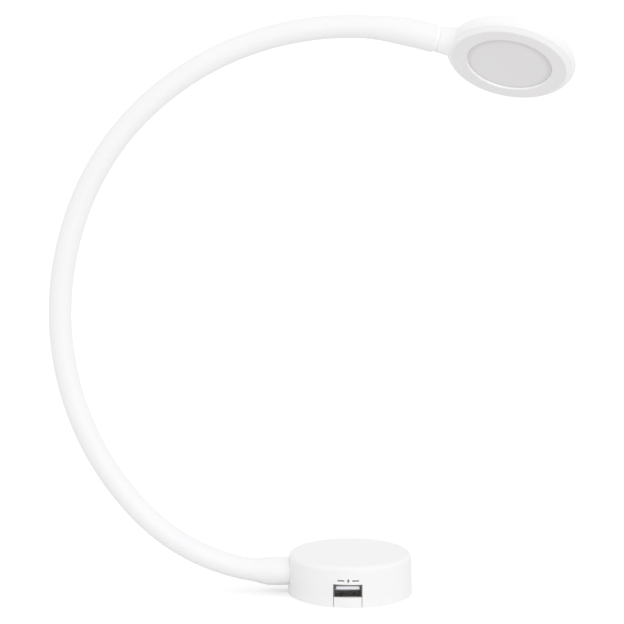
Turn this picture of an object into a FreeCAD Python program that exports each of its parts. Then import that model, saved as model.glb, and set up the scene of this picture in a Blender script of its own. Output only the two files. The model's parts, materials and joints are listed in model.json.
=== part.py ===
import FreeCAD, Part
import math
import os
from FreeCAD import Placement, Rotation, Vector

# Surface-mounted gooseneck reading lamp with a USB charging socket, in millimetres.
# Origin: centre of the round base's flat mounting face. +Z goes out of the surface through the base,
# the gooseneck leaves the base towards -X, and the USB socket faces -Y.

# Round base: a moulded cup, closed by a plate that snaps into it
BASE_DIAMETER = 60.0
BASE_HEIGHT = 19.5
BASE_TAPER = 0.35            # radius lost between the mounting face and the top edge
BASE_EDGE_RADIUS = 2.2
BASE_WALL = 2.2
BASE_TOP_WALL = 2.4
CAVITY_CHAMFER = 1.3         # inside, between the wall and the top
PLATE_THICKNESS = 2.0
PLATE_CLEARANCE = 0.2        # around the plate, inside the cup
SNAP_ANGLES = (40, 140, 220, 320)
SNAP_WIDTH = 7.0
SNAP_HEIGHT = 8.0
SNAP_THICKNESS = 1.3
SNAP_CATCH = 0.7
SNAP_INSET = 0.35            # the arm's outer face, in from the plate's rim
SNAP_PLAY = 0.5              # around the catch, in its pocket
SCREW_SPACING = 36.0         # the two screws that hold the plate to a board or shelf
SCREW_HOLE_DIAMETER = 4.2
SCREW_HEAD_DIAMETER = 7.0
INLET_DIAMETER = 9.0         # hole for the supply cable, closed by a rubber grommet
GROMMET_BORE = 5.2
GROMMET_LIP = 1.2            # how far the flange reaches past the hole
GROMMET_RISE = 1.4           # how far it stands above the plate
GROMMET_RIM = 0.6
GROMMET_FIT = 0.05

# Charging socket
PORT_X = -1.5
PORT_SETBACK = 0.9           # the socket's mouth, in from the base's widest line
PORT_WIDTH = 13.2
PORT_HEIGHT = 5.7
PORT_DEPTH = 14.0
PORT_UNDERSIDE = 5.1
PORT_METAL = 0.32
PORT_CORNER = 0.5
PORT_GAP = 0.3               # between the socket and the notch in the cup
PORT_NOTCH_DEPTH = 7.0       # from the base's widest line
LIP_GAP = 0.15               # between the socket and the plate's lip below it
LIP_SEAM = 0.25              # between the lip and each side of the notch
SPRING_SPACING = 6.0         # the two sprung tabs along the socket's lower wall
SPRING_WIDTH = 2.0
SPRING_RISE = 0.75
SPRING_SETBACK = 1.2
SPRING_LENGTH = 5.3
LEG_SETBACK = 9.0            # the socket's two soldered legs, from its mouth
LEG_LENGTH = 1.8
LEG_BELOW_BOARD = 0.8
LEG_PLAY = 0.2
TONGUE_WIDTH = 11.1
TONGUE_THICKNESS = 1.84
TONGUE_DROP = 0.35           # below the socket's metal roof
TONGUE_SETBACK = 1.2
TONGUE_CHAMFER = 0.3
BLOCK_DEPTH = 3.6
MOULDING_PLAY = 0.05
CONTACT_COUNT = 4
CONTACT_PITCH = 2.3
CONTACT_WIDTH = 1.0
CONTACT_LENGTH = 8.0
CONTACT_THICKNESS = 0.15
CONTACT_SETBACK = 0.8

# Circuit board in the base, hung from three bosses
BOARD_THICKNESS = 1.6
BOARD_RIM_GAP = 2.25         # to the cup's wall, which leaves room for the snaps to bend
BOARD_CABLE_HOLE = 12.0
BOSS_INSET = 4.6             # the bosses' centres, in from the board's edge
BOSS_ANGLES = (60, 150, 300)
BOSS_DIAMETER = 5.4
BOARD_SCREW_DIAMETER = 2.2
BOARD_SCREW_HEAD = 4.2
BOARD_SCREW_HEAD_HEIGHT = 1.2
BOARD_SCREW_LENGTH = 6.5     # in the boss
PILOT_SPARE = 0.5
SCREW_PLAY = 0.15
THREAD_FIT = 0.02
INDUCTOR_AT = (6.5, -6.0)
INDUCTOR_SIDE = 7.0
INDUCTOR_HEIGHT = 4.2
INDUCTOR_CORNER = 1.0
INDUCTOR_GROOVE = (3.1, 2.5, 0.5)       # outer radius, inner radius, depth
CAPACITOR_PLACES = ((14.5, -2.0), (14.5, 6.0))
CAPACITOR_DIAMETER = 6.3
CAPACITOR_HEIGHT = 7.0
CAPACITOR_EDGE = 0.4
CAPACITOR_FOOT = (6.8, 0.8)             # side, height
CHARGER_CHIP = (5.0, 4.0, 1.5)
CHARGER_CHIP_AT = (-9.5, 1.6)           # y is from the back of the socket
DRIVER_CHIP = (3.0, 1.8, 1.1)
DRIVER_CHIP_AT = (-14.5, -7.0)
TERMINAL_AT = (-5.2, 8.2)
TERMINAL_SIZE = (10.4, 7.6, 9.0)
TERMINAL_CHAMFER = 1.2
TERMINAL_MOUTH = 3.4
TERMINAL_MOUTH_DEPTH = 3.5
TERMINAL_FLOOR = 1.0
TERMINAL_SCREW_DIAMETER = 3.6
TERMINAL_SCREW_SINK = 3.0
TERMINAL_SCREW_HEAD = 1.6
TERMINAL_SCREW_PLAY = 0.1
SCREW_SLOT = (0.5, 0.6)                 # width, depth
LEAF_AT = (-3.0, 1.1)        # the sprung strip below the touch area; y is from the socket's back
LEAF_WIDTH = 4.0
LEAF_METAL = 0.3
LEAF_FOOT = 3.5
LEAF_LEAN = 2.3
LEAF_PAD = 2.7
LEAF_BEND = 1.5
LEAF_GAP = 0.05

# Gooseneck: a straight stub, then arcs of equal length between ball joints
NECK_AXIS_HEIGHT = 10.15
STUB_LENGTH = 9.5
ROOT_ARC_LENGTH = 16.0
LINK_LENGTH = 54.5
HEAD_ARC_LENGTH = 32.5
HEAD_STUB_LENGTH = 5.1
ROOT_TURN = 13.4
LINK_TURNS = (32.8, 22.6, 22.3, 21.4, 24.2, 22.6, 21.7)
HEAD_TURN = 13.5
SLEEVE_DIAMETER = 10.8
SLEEVE_WALL = 1.7
SLEEVE_FIT = 0.1
CONDUIT_WALL = 1.4
FEED_CABLE_DIAMETER = 3.2
JOINT_CLEARANCE = 0.1
JOINT_SWING = 36.0           # the furthest that one ball joint can bend
JOINT_RIM = 2.0              # how far the joint's cutter reaches past the sleeve
CABLE_SHORT = 0.4            # from the cable's end to the ball's surface
BASE_FLARE_DIAMETER = 13.6
BASE_FLARE_LENGTH = 10.0
BASE_FLARE_TAPER = 10.0
HEAD_FLARE_DIAMETER = 13.2
HEAD_FLARE_LENGTH = 10.0
HEAD_FLARE_TAPER = 26.0
FLARE_STEPS = 5              # cones that make up each taper

# End fittings of the gooseneck
COLLAR_DIAMETER = 9.6
COLLAR_LENGTH = 9.0
COLLAR_FLOOR = 1.1           # solid end of the collar, behind the metal tube
FLANGE_DIAMETER = 11.4
FLANGE_THICKNESS = 1.2
TUBE_FIT = 0.1
TUBE_END_GAP = 0.1
CABLE_FIT = 0.25
THREAD_DIAMETER = 10.0
THREAD_CLEARANCE = 0.15
THREAD_TAIL = 1.2            # past the nut
NUT_ACROSS_FLATS = 12.0
NUT_THICKNESS = 2.8
NUT_PAD = 3.0                # wall left between the sleeve's seat and the nut
PAD_MARGIN = 3.0             # of the flat pad, on each side of the nut
PAD_CLEARANCE = 1.1          # from the pad to the plate
NOTCH_CLEARANCE = 1.0        # from the pad and the thread to the board
SPOT_FACE_DEPTH = 0.35       # flat seat for the sleeve's end, below the base's narrowest side
SEAM_GAP = 0.15
CABLE_TAIL = 3.0             # cable past the nut
LEAD_DIAMETER = 1.2
LEAD_SPACING = 1.7
LEAD_RUN = 8.0
LEAD_BEND = 2.5

# Lamp head, in its own frame: origin on the neck's axis under the disc's middle, +Z out of its back
NECK_REACH = 37.0            # from the end of the sleeve to the disc's axis
HEAD_ROLL = 35.0             # the disc is turned about the neck, towards the viewer
HEAD_RADIUS = 30.8
HEAD_BACK = 5.0
HEAD_BACK_FLAT = 25.0        # radius at which the back starts to round over
HEAD_WIDEST = 0.6
HEAD_LIP = -2.4
HEAD_LIP_RADIUS = 29.5
HEAD_SIDE_BULGE = 0.25
HEAD_WALL = 1.6
NECK_DIAMETER = 12.0
NECK_STRAIGHT = 2.0          # a plain collar, with a fine groove at its end
NECK_GROOVE = (0.35, 0.3)               # width, depth
NECK_SINK = 7.1              # how far the neck's last section lies inside the disc's edge
NECK_FLARE = (               # share of the way, added half width, added half height, lift
    (0.0, 0.0, 0.0, 0.0),
    (0.31, 2.2, -0.2, 0.5),
    (0.65, 5.8, -1.9, 0.85),
    (1.0, 8.0, -2.7, 1.0),
)
BEZEL_RADIUS = 27.65
BEZEL_FACE = -4.0
BEZEL_EDGE = 1.0
BEZEL_GAP = 0.25
BEZEL_RIM_WALL = 1.2
BEZEL_RIM_HEIGHT = 3.2       # of the rim that goes into the housing, from the housing's lip
BEZEL_INNER_CHAMFER = 0.5
BEAD_HEIGHT = 0.5            # snap bead around the rim
BEAD_RISE = 2.0              # from the housing's lip
BEAD_WIDTH = 0.9
GROOVE_GAP = 0.15
RELIEF_MARGIN = 0.6          # around the neck's shelf, in the bezel's rim
LENS_RADIUS = 20.1
LENS_RECESS = 1.0
LENS_THICKNESS = 1.2
LENS_LEDGE = 1.5
LENS_PLAY = 0.3
LENS_GAP = 0.03
REFLECTOR_THICKNESS = 0.8
REFLECTOR_FOOT = 1.4
REFLECTOR_TOP = 3.0
REFLECTOR_NOTCH = (5.2, 0.9)            # width, height left below it
STACK_RADIUS = 22.4
LED_BOARD_THICKNESS = 1.2
HEAT_SPREADER_THICKNESS = 1.0
LED_RINGS = ((6, 7.5), (12, 15.0))      # count and radius
LED_SIZE = (3.0, 2.8, 0.7)
PLUG_DIAMETER = 8.5          # the end fitting's plug, in the neck's bore
PLUG_FIT = 0.05
PLUG_STOP = 2.6              # from the plug's end to the bezel's pocket
TAIL_LOW = 2.2
TAIL_WIDTH = 6.0
TAIL_THICKNESS = 1.2
TAIL_FIT = 0.05
TAIL_SIDE_PLAY = 0.1
TAIL_ROOT = 0.9              # how far the tail starts inside the plug
TAIL_END_GAP = 0.8           # to the LED board
TAIL_SCREW_EDGE = 2.2        # the screw's centre, from the tail's end
TAIL_SCREW_DIAMETER = 2.0
TAIL_SCREW_HEAD = 4.0
TAIL_SCREW_HEAD_HEIGHT = 1.0
TAIL_SCREW_LENGTH = 1.1      # in the housing
TAIL_SCREW_ACCESS = 0.4      # around the screw's head
TAIL_PILOT_SPARE = 0.2
SHELF_WIDTH = 9.0
SHELF_LOW = -1.6
SHELF_END_GAP = 0.2          # past the tail's end, towards the LED board
SHELF_START = 1.1            # into the neck's side of the disc's edge
HEAD_CABLE_END = 1.0         # past the plug
HEAD_LEAD_DIAMETER = 1.0
HEAD_LEAD_SPACING = 1.5
HEAD_PAD_SPACING = 3.0
HEAD_LEAD_LEVEL = 2.8
HEAD_LEAD_GAP = 0.05         # from the cable's end and the board
HEAD_PAD_INSET = 2.2         # from the LED board's edge

OVERCUT = 1.0                # how far a cutter runs past the face that it opens

# Sizes that follow from those above
SLEEVE_RADIUS = SLEEVE_DIAMETER / 2
CONDUIT_RADIUS = SLEEVE_RADIUS - SLEEVE_WALL - SLEEVE_FIT
CONDUIT_BORE = CONDUIT_RADIUS - CONDUIT_WALL
SLEEVE_BORE = CONDUIT_RADIUS + SLEEVE_FIT
CABLE_RADIUS = FEED_CABLE_DIAMETER / 2
BASE_RADIUS = BASE_DIAMETER / 2
BASE_TOP_RADIUS = BASE_RADIUS - BASE_TAPER
CUP_RADIUS = BASE_RADIUS - BASE_WALL
CUP_TOP_RADIUS = BASE_TOP_RADIUS - BASE_WALL
CEILING = BASE_HEIGHT - BASE_TOP_WALL
PLATE_RADIUS = CUP_RADIUS - PLATE_CLEARANCE
SNAP_FACE = PLATE_RADIUS - SNAP_INSET
PORT_FRONT = BASE_RADIUS - PORT_SETBACK
PORT_BACK = PORT_DEPTH - PORT_FRONT
PORT_ROOF = PORT_UNDERSIDE + PORT_HEIGHT - PORT_METAL
TONGUE_UNDER = PORT_ROOF - TONGUE_DROP - TONGUE_THICKNESS
BOARD_TOP = PORT_UNDERSIDE
BOARD_UNDER = BOARD_TOP - BOARD_THICKNESS
BOARD_RADIUS = CUP_TOP_RADIUS - BOARD_RIM_GAP
BOSS_CIRCLE = BOARD_RADIUS - BOSS_INSET
SEAT_RADIUS = BASE_FLARE_DIAMETER / 2 + SEAM_GAP
SLEEVE_SEAT = math.sqrt(BASE_TOP_RADIUS**2 - (SEAT_RADIUS + SEAM_GAP) ** 2) - SPOT_FACE_DEPTH
NUT_SEAT = SLEEVE_SEAT - NUT_PAD
THREAD_END = NUT_SEAT - NUT_THICKNESS - THREAD_TAIL
PAD_WIDTH = NUT_ACROSS_FLATS + 2 * PAD_MARGIN
BASE_CABLE_END = NUT_SEAT - NUT_THICKNESS - CABLE_TAIL
BEZEL_POCKET = BEZEL_RADIUS + BEZEL_GAP
PLUG_END = -(BEZEL_POCKET + PLUG_STOP)
TAIL_END = -(STACK_RADIUS + TAIL_END_GAP)
TAIL_SCREW_X = TAIL_END - TAIL_SCREW_EDGE
HEAD_CABLE_X = PLUG_END + HEAD_CABLE_END
LENS_OUTER = LENS_RADIUS + LENS_LEDGE
LENS_LOW = BEZEL_FACE + LENS_RECESS
LENS_TOP = LENS_LOW + LENS_THICKNESS
HEAT_SPREADER_LOW = HEAD_BACK - HEAD_WALL - HEAT_SPREADER_THICKNESS
LED_BOARD_LOW = HEAT_SPREADER_LOW - LED_BOARD_THICKNESS


def vec(x, y, z=0.0):
    return Vector(x, y, z)


def polygon(points):
    return Part.Face(Part.makePolygon([*points, points[0]]))


def box(x, y, z, low=(0, 0, 0)):
    return Part.makeBox(x, y, z, Vector(*low))


def cylinder(radius, height, at=(0, 0, 0), axis=(0, 0, 1)):
    return Part.makeCylinder(radius, height, Vector(*at), Vector(*axis))


def bar(radius, start, end, height=0.0):
    """A cylinder along X between two places."""
    return cylinder(radius, abs(end - start), (min(start, end), 0, height), (1, 0, 0))


def turned(points, arcs=()):
    """A solid of revolution about Z from a closed (radius, height) profile.

    arcs maps the index of an edge's first point to a point that the edge bulges through.
    """
    bulge = dict(arcs)
    edges = []
    for i, start in enumerate(points):
        end = points[(i + 1) % len(points)]
        a, b = vec(start[0], 0, start[1]), vec(end[0], 0, end[1])
        if i in bulge:
            middle = vec(bulge[i][0], 0, bulge[i][1])
            edges.append(Part.Arc(a, middle, b).toShape())
        else:
            edges.append(Part.LineSegment(a, b).toShape())
    face = Part.Face(Part.Wire(edges))
    return face.revolve(vec(0, 0, 0), vec(0, 0, 1), 360)


def quarter_bulge(x, z, radius, down=False):
    """The middle of a rounded edge whose square corner is at (x, z), on the outside of a turned part."""
    inset = radius * (1 - math.sqrt(0.5))
    return x - inset, z + inset if down else z - inset


def around(shape, angle):
    copy = shape.copy()
    copy.rotate(vec(0, 0, 0), vec(0, 0, 1), angle)
    return copy


def placed(shape, placement):
    copy = shape.copy()
    copy.Placement = placement.multiply(copy.Placement)
    return copy


def edges_along(shape, axis):
    """The edges that run straight along one axis, 0 to 2."""
    return [e for e in shape.Edges if abs(e.tangentAt(e.FirstParameter)[axis]) > 0.99]


def save(name, *solids):
    """Writes one node. Several solids stay separate in it."""
    shape = Part.makeCompound(list(solids)) if len(solids) > 1 else solids[0].removeSplitter()
    found = shape.Solids
    volume = sum(s.Volume for s in found)
    print(f"{name}: {len(found)} solid(s), {volume:.1f} mm3, valid {shape.isValid()}")
    if len(found) == 1:
        shape = found[0]
    shape.exportStep(f"parts/{name}.step")


# The gooseneck's line

class Run:
    """One body's stretch of the gooseneck: an arc that turns clockwise, between straight ends."""

    def __init__(self, start, heading, before, arc, turn, after):
        self.before = before
        self.arc = arc
        self.after = after
        self.length = before + arc + after
        self.turn = turn
        self.radius = arc / math.radians(turn)
        self.start = Placement(start, Rotation(vec(0, 1, 0), -heading))

    def place(self, s):
        """Where the line is at length s from the run's start; its local +X is the tangent."""
        on_arc = min(max(s - self.before, 0.0), self.arc)
        angle = on_arc / self.radius
        point = vec(
            min(s, self.before) + self.radius * math.sin(angle),
            0,
            -self.radius * (1 - math.cos(angle)),
        )
        here = self.start.multiply(Placement(point, Rotation(vec(0, 1, 0), math.degrees(angle))))
        past = max(s - self.before - self.arc, 0.0)
        return here.multiply(Placement(vec(past, 0, 0), Rotation()))

    def end(self):
        return self.place(self.length)


def arm_runs():
    """The runs of the root, each link and the head, in order."""
    layout = [(STUB_LENGTH, ROOT_ARC_LENGTH, ROOT_TURN, 0.0)]
    layout += [(0.0, LINK_LENGTH, turn, 0.0) for turn in LINK_TURNS]
    layout += [(0.0, HEAD_ARC_LENGTH, HEAD_TURN, HEAD_STUB_LENGTH)]
    start, heading = vec(-SLEEVE_SEAT, 0, NECK_AXIS_HEIGHT), 180.0
    runs = []
    for before, arc, turn, after in layout:
        run = Run(start, heading, before, arc, turn, after)
        runs.append(run)
        start, heading = run.end().Base, heading - turn
    return runs


def disc_wire(run, s, radius):
    circle = Part.Wire(Part.Circle(vec(0, 0, 0), vec(1, 0, 0), radius).toShape())
    return placed(circle, run.place(s))


def rod(run, radius, ahead=0.0):
    """A solid along the run, with a straight end that reaches ahead past the next joint's centre."""
    face = Part.Face(Part.Wire(Part.Circle(vec(run.before, 0, 0), vec(1, 0, 0), radius).toShape()))
    solid = face.revolve(vec(run.before, 0, -run.radius), vec(0, 1, 0), run.turn)
    if run.before:
        solid = solid.fuse(bar(radius, 0, run.before))
    solid = placed(solid, run.start)
    if run.after + ahead:
        solid = solid.fuse(placed(bar(radius, -run.after, ahead), run.end()))
    return solid


def flared(run, stations):
    """A solid along the run through discs of the given (length, radius)."""
    wires = [disc_wire(run, s, radius) for s, radius in stations]
    return Part.makeLoft(wires, True, True)


def ball(run, bore):
    """The rounded, bored end past the run's last joint."""
    radius = SLEEVE_RADIUS
    rim = math.asin(bore / radius)
    middle = (rim + math.pi / 2) / 2
    zone = turned(
        [(bore, 0), (radius, 0), (bore, radius * math.cos(rim))],
        {1: (radius * math.sin(middle), radius * math.cos(middle))},
    )
    zone.rotate(vec(0, 0, 0), vec(0, 1, 0), 90)
    return placed(zone, run.end())


def socket_cutter(run):
    """What is taken off the start of a run, so that it can swing about the ball before it."""
    reach = SLEEVE_RADIUS + JOINT_CLEARANCE
    rim = SLEEVE_RADIUS + JOINT_RIM
    slope = math.radians(90 - JOINT_SWING)
    middle = slope / 2
    profile = [
        (0, reach),
        (reach * math.sin(slope), reach * math.cos(slope)),
        (rim, rim / math.tan(slope)),
        (rim, -OVERCUT),
        (0, -OVERCUT),
    ]
    cutter = turned(profile, {0: (reach * math.sin(middle), reach * math.cos(middle))})
    cutter.rotate(vec(0, 0, 0), vec(0, 1, 0), 90)
    return placed(cutter, run.start)


def taper(s, start, end, first, last):
    """A radius that eases from first to last between two lengths."""
    t = min(max((s - start) / (end - start), 0), 1)
    return first + (last - first) * (1 - math.cos(math.pi * t)) / 2


# Base

def base_outer():
    """The base's whole outer form, solid."""
    h, e, r = BASE_HEIGHT, BASE_EDGE_RADIUS, BASE_TOP_RADIUS
    return turned(
        [(0, 0), (BASE_RADIUS, 0), (r, h - e), (r - e, h), (0, h)],
        {2: quarter_bulge(r, h, e)},
    )


def port_block(grow, low, high):
    """A block on the socket's outline, from the front of the base into the cup."""
    return box(
        PORT_WIDTH + 2 * grow,
        OVERCUT + PORT_NOTCH_DEPTH,
        high - low,
        (PORT_X - PORT_WIDTH / 2 - grow, -BASE_RADIUS - OVERCUT, low),
    )


def boss_places():
    return [
        vec(BOSS_CIRCLE * math.cos(math.radians(a)), BOSS_CIRCLE * math.sin(math.radians(a)))
        for a in BOSS_ANGLES
    ]


def screw_bosses(body):
    """Adds the three bosses under the top, each with a pilot hole from the board's side."""
    reach = CEILING - BOARD_TOP + BASE_TOP_WALL / 2
    for place in boss_places():
        at = (place.x, place.y, BOARD_TOP)
        body = body.fuse(cylinder(BOSS_DIAMETER / 2, reach, at))
        body = body.cut(cylinder(BOARD_SCREW_DIAMETER / 2, BOARD_SCREW_LENGTH + PILOT_SPARE, at))
    return body


def neck_pad(body):
    """Adds the flat pad for the nut, and cuts the sleeve's seat and the hole through both."""
    low = PLATE_THICKNESS + PAD_CLEARANCE
    pad = box(BASE_RADIUS - NUT_SEAT, PAD_WIDTH, BASE_HEIGHT - low, (-BASE_RADIUS, -PAD_WIDTH / 2, low))
    body = body.fuse(pad.common(base_outer()))
    body = body.cut(bar(SEAT_RADIUS, -SLEEVE_SEAT, -BASE_RADIUS - OVERCUT, NECK_AXIS_HEIGHT))
    hole = THREAD_DIAMETER / 2 + THREAD_CLEARANCE
    return body.cut(bar(hole, OVERCUT - NUT_SEAT, -BASE_RADIUS - OVERCUT, NECK_AXIS_HEIGHT))


def base_housing():
    """The moulded cup: bosses, neck pad, notch for the socket and four pockets for the snaps."""
    cavity = turned(
        [
            (0, -OVERCUT),
            (CUP_RADIUS, -OVERCUT),
            (CUP_TOP_RADIUS, CEILING - CAVITY_CHAMFER),
            (CUP_TOP_RADIUS - CAVITY_CHAMFER, CEILING),
            (0, CEILING),
        ]
    )
    body = neck_pad(screw_bosses(base_outer().cut(cavity)))
    body = body.cut(port_block(PORT_GAP, -OVERCUT, PORT_UNDERSIDE + PORT_HEIGHT + PORT_GAP))
    for angle in SNAP_ANGLES:
        pocket = box(
            SNAP_CATCH + SNAP_PLAY + OVERCUT,
            SNAP_WIDTH + 2 * SNAP_PLAY,
            2 * SNAP_CATCH + 2 * SNAP_PLAY,
            (SNAP_FACE - OVERCUT, -SNAP_WIDTH / 2 - SNAP_PLAY, SNAP_HEIGHT - 2 * SNAP_CATCH - SNAP_PLAY),
        )
        body = body.cut(around(pocket, angle))
    return body


def snap_arm():
    """One sprung arm of the plate, with its catch, on the +X side."""
    arm = box(SNAP_THICKNESS, SNAP_WIDTH, SNAP_HEIGHT, (SNAP_FACE - SNAP_THICKNESS, -SNAP_WIDTH / 2, 0))
    root = SNAP_FACE - SNAP_THICKNESS / 2
    catch = polygon(
        [
            vec(root, -SNAP_WIDTH / 2, SNAP_HEIGHT - 2 * SNAP_CATCH),
            vec(SNAP_FACE, -SNAP_WIDTH / 2, SNAP_HEIGHT - 2 * SNAP_CATCH),
            vec(SNAP_FACE + SNAP_CATCH, -SNAP_WIDTH / 2, SNAP_HEIGHT - 1.5 * SNAP_CATCH),
            vec(SNAP_FACE, -SNAP_WIDTH / 2, SNAP_HEIGHT),
            vec(root, -SNAP_WIDTH / 2, SNAP_HEIGHT),
        ]
    )
    return arm.fuse(catch.extrude(vec(0, SNAP_WIDTH, 0)))


def base_plate():
    """The plate that screws down: snap arms, countersunk holes, and the lip that closes the notch."""
    plate = cylinder(PLATE_RADIUS, PLATE_THICKNESS)
    wall = base_outer().cut(cylinder(PLATE_RADIUS - PLATE_CLEARANCE, BASE_HEIGHT))
    plate = plate.fuse(wall.common(port_block(PORT_GAP - LIP_SEAM, 0, PORT_UNDERSIDE - LIP_GAP)))
    for angle in SNAP_ANGLES:
        plate = plate.fuse(around(snap_arm(), angle))
    hole, head = SCREW_HOLE_DIAMETER / 2, SCREW_HEAD_DIAMETER / 2
    for x in (-SCREW_SPACING / 2, SCREW_SPACING / 2):
        plate = plate.cut(cylinder(hole, PLATE_THICKNESS + OVERCUT, (x, 0, -OVERCUT / 2)))
        plate = plate.cut(Part.makeCone(hole, head, head - hole, vec(x, 0, PLATE_THICKNESS - head + hole)))
    return plate.cut(cylinder(INLET_DIAMETER / 2, PLATE_THICKNESS + OVERCUT, (0, 0, -OVERCUT / 2)))


def grommet():
    """The rubber bush in the cable inlet: a waist in the plate and a flange above it."""
    bore = GROMMET_BORE / 2
    waist = INLET_DIAMETER / 2 - GROMMET_FIT
    seat = PLATE_THICKNESS + GROMMET_FIT
    top = PLATE_THICKNESS + GROMMET_RISE
    return turned(
        [
            (bore, 0),
            (waist, 0),
            (waist, seat),
            (waist + GROMMET_LIP, seat),
            (waist + GROMMET_LIP, seat + GROMMET_RIM),
            (bore + GROMMET_RIM, top),
            (bore, top),
        ]
    )


def usb_shell():
    """The drawn metal shell, with sprung tabs along its lower wall and a soldered leg on each side."""
    left, front, floor = PORT_X - PORT_WIDTH / 2, -PORT_FRONT, PORT_UNDERSIDE + PORT_METAL
    outer = box(PORT_WIDTH, PORT_DEPTH, PORT_HEIGHT, (left, front, PORT_UNDERSIDE))
    outer = outer.makeFillet(PORT_CORNER, edges_along(outer, 1))
    shell = outer.cut(
        box(
            PORT_WIDTH - 2 * PORT_METAL,
            PORT_DEPTH - PORT_METAL + OVERCUT,
            PORT_HEIGHT - 2 * PORT_METAL,
            (left + PORT_METAL, front - OVERCUT, floor),
        )
    )
    start, root = front + SPRING_SETBACK, floor - PORT_METAL / 3
    profile = polygon(
        [
            vec(0, start, root),
            vec(0, start + 0.27 * SPRING_LENGTH, floor + SPRING_RISE),
            vec(0, start + 0.42 * SPRING_LENGTH, floor + SPRING_RISE),
            vec(0, start + SPRING_LENGTH, root),
        ]
    )
    leg_low = BOARD_UNDER - LEG_BELOW_BOARD
    leg_height = PORT_UNDERSIDE + 2 * PORT_CORNER - leg_low
    for side in (-1, 1):
        tab = profile.extrude(vec(SPRING_WIDTH, 0, 0))
        tab.translate(vec(PORT_X + side * SPRING_SPACING / 2 - SPRING_WIDTH / 2, 0, 0))
        wall = PORT_X + side * (PORT_WIDTH - PORT_METAL) / 2 - PORT_METAL / 2
        leg = box(PORT_METAL, LEG_LENGTH, leg_height, (wall, front + LEG_SETBACK, leg_low))
        shell = shell.fuse(tab).fuse(leg)
    return shell


def usb_insulator():
    """The moulded tongue, hanging from the block at the back of the shell."""
    front, inset = -PORT_FRONT, PORT_METAL + MOULDING_PLAY
    back = front + PORT_DEPTH - inset
    block = box(
        PORT_WIDTH - 2 * inset,
        BLOCK_DEPTH,
        PORT_HEIGHT - 2 * inset,
        (PORT_X - PORT_WIDTH / 2 + inset, back - BLOCK_DEPTH, PORT_UNDERSIDE + inset),
    )
    tip = front + TONGUE_SETBACK
    tongue = box(TONGUE_WIDTH, back - tip, TONGUE_THICKNESS, (PORT_X - TONGUE_WIDTH / 2, tip, TONGUE_UNDER))
    nose = [e for e in edges_along(tongue, 0) if abs(e.CenterOfMass.y - tip) < MOULDING_PLAY]
    return block.fuse(tongue.makeChamfer(TONGUE_CHAMFER, nose))


def usb_contacts():
    first = PORT_X - (CONTACT_COUNT - 1) * CONTACT_PITCH / 2 - CONTACT_WIDTH / 2
    at_y = -PORT_FRONT + TONGUE_SETBACK + CONTACT_SETBACK
    at_z = TONGUE_UNDER - CONTACT_THICKNESS
    return [
        box(CONTACT_WIDTH, CONTACT_LENGTH, CONTACT_THICKNESS, (first + i * CONTACT_PITCH, at_y, at_z))
        for i in range(CONTACT_COUNT)
    ]


def circuit_board():
    """A round board, notched around the nut, with holes for the supply cable, screws and socket legs."""
    tall, low = BOARD_THICKNESS + 2 * OVERCUT, BOARD_UNDER - OVERCUT
    board = cylinder(BOARD_RADIUS, BOARD_THICKNESS, (0, 0, BOARD_UNDER))
    notch_end = THREAD_END - NOTCH_CLEARANCE
    notch_width = PAD_WIDTH + 2 * NOTCH_CLEARANCE
    board = board.cut(
        box(BASE_RADIUS - notch_end, notch_width, tall, (-BASE_RADIUS, -notch_width / 2, low))
    )
    board = board.cut(cylinder(BOARD_CABLE_HOLE / 2, tall, (0, 0, low)))
    for place in boss_places():
        board = board.cut(cylinder(BOARD_SCREW_DIAMETER / 2 + SCREW_PLAY, tall, (place.x, place.y, low)))
    for side in (-1, 1):
        middle = PORT_X + side * (PORT_WIDTH - PORT_METAL) / 2
        slot = box(
            PORT_METAL + 2 * LEG_PLAY,
            LEG_LENGTH + 2 * LEG_PLAY,
            tall,
            (middle - PORT_METAL / 2 - LEG_PLAY, -PORT_FRONT + LEG_SETBACK - LEG_PLAY, low),
        )
        board = board.cut(slot)
    return board


def board_screws():
    screws = []
    shank_length = BOARD_THICKNESS + BOARD_SCREW_LENGTH
    for place in boss_places():
        under = (place.x, place.y, BOARD_UNDER)
        head_at = (place.x, place.y, BOARD_UNDER - BOARD_SCREW_HEAD_HEIGHT)
        head = cylinder(BOARD_SCREW_HEAD / 2, BOARD_SCREW_HEAD_HEIGHT, head_at)
        screws.append(head.fuse(cylinder(BOARD_SCREW_DIAMETER / 2 - THREAD_FIT, shank_length, under)))
    return screws


def inductor():
    """Shielded power inductor: a square ferrite block with a round wound top."""
    (x, y), half, height = INDUCTOR_AT, INDUCTOR_SIDE / 2, INDUCTOR_HEIGHT
    block = box(INDUCTOR_SIDE, INDUCTOR_SIDE, height, (x - half, y - half, BOARD_TOP))
    block = block.makeChamfer(INDUCTOR_CORNER, edges_along(block, 2))
    outer, inner, depth = INDUCTOR_GROOVE
    at = (x, y, BOARD_TOP + height - depth)
    return block.cut(cylinder(outer, depth, at).cut(cylinder(inner, depth, at)))


def capacitors():
    cans = []
    side, foot_height = CAPACITOR_FOOT
    top = BOARD_TOP + foot_height + CAPACITOR_HEIGHT
    for x, y in CAPACITOR_PLACES:
        foot = box(side, side, foot_height, (x - side / 2, y - side / 2, BOARD_TOP))
        can = cylinder(CAPACITOR_DIAMETER / 2, CAPACITOR_HEIGHT, (x, y, BOARD_TOP + foot_height))
        rim = [e for e in can.Edges if abs(e.CenterOfMass.z - top) < CAPACITOR_EDGE / 2]
        cans.append(foot.fuse(can.makeFillet(CAPACITOR_EDGE, rim)))
    return cans


def chips():
    charger_x, charger_y = CHARGER_CHIP_AT
    charger = box(*CHARGER_CHIP, (charger_x, PORT_BACK + charger_y, BOARD_TOP))
    driver = box(*DRIVER_CHIP, (*DRIVER_CHIP_AT, BOARD_TOP))
    return [charger, driver]


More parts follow.
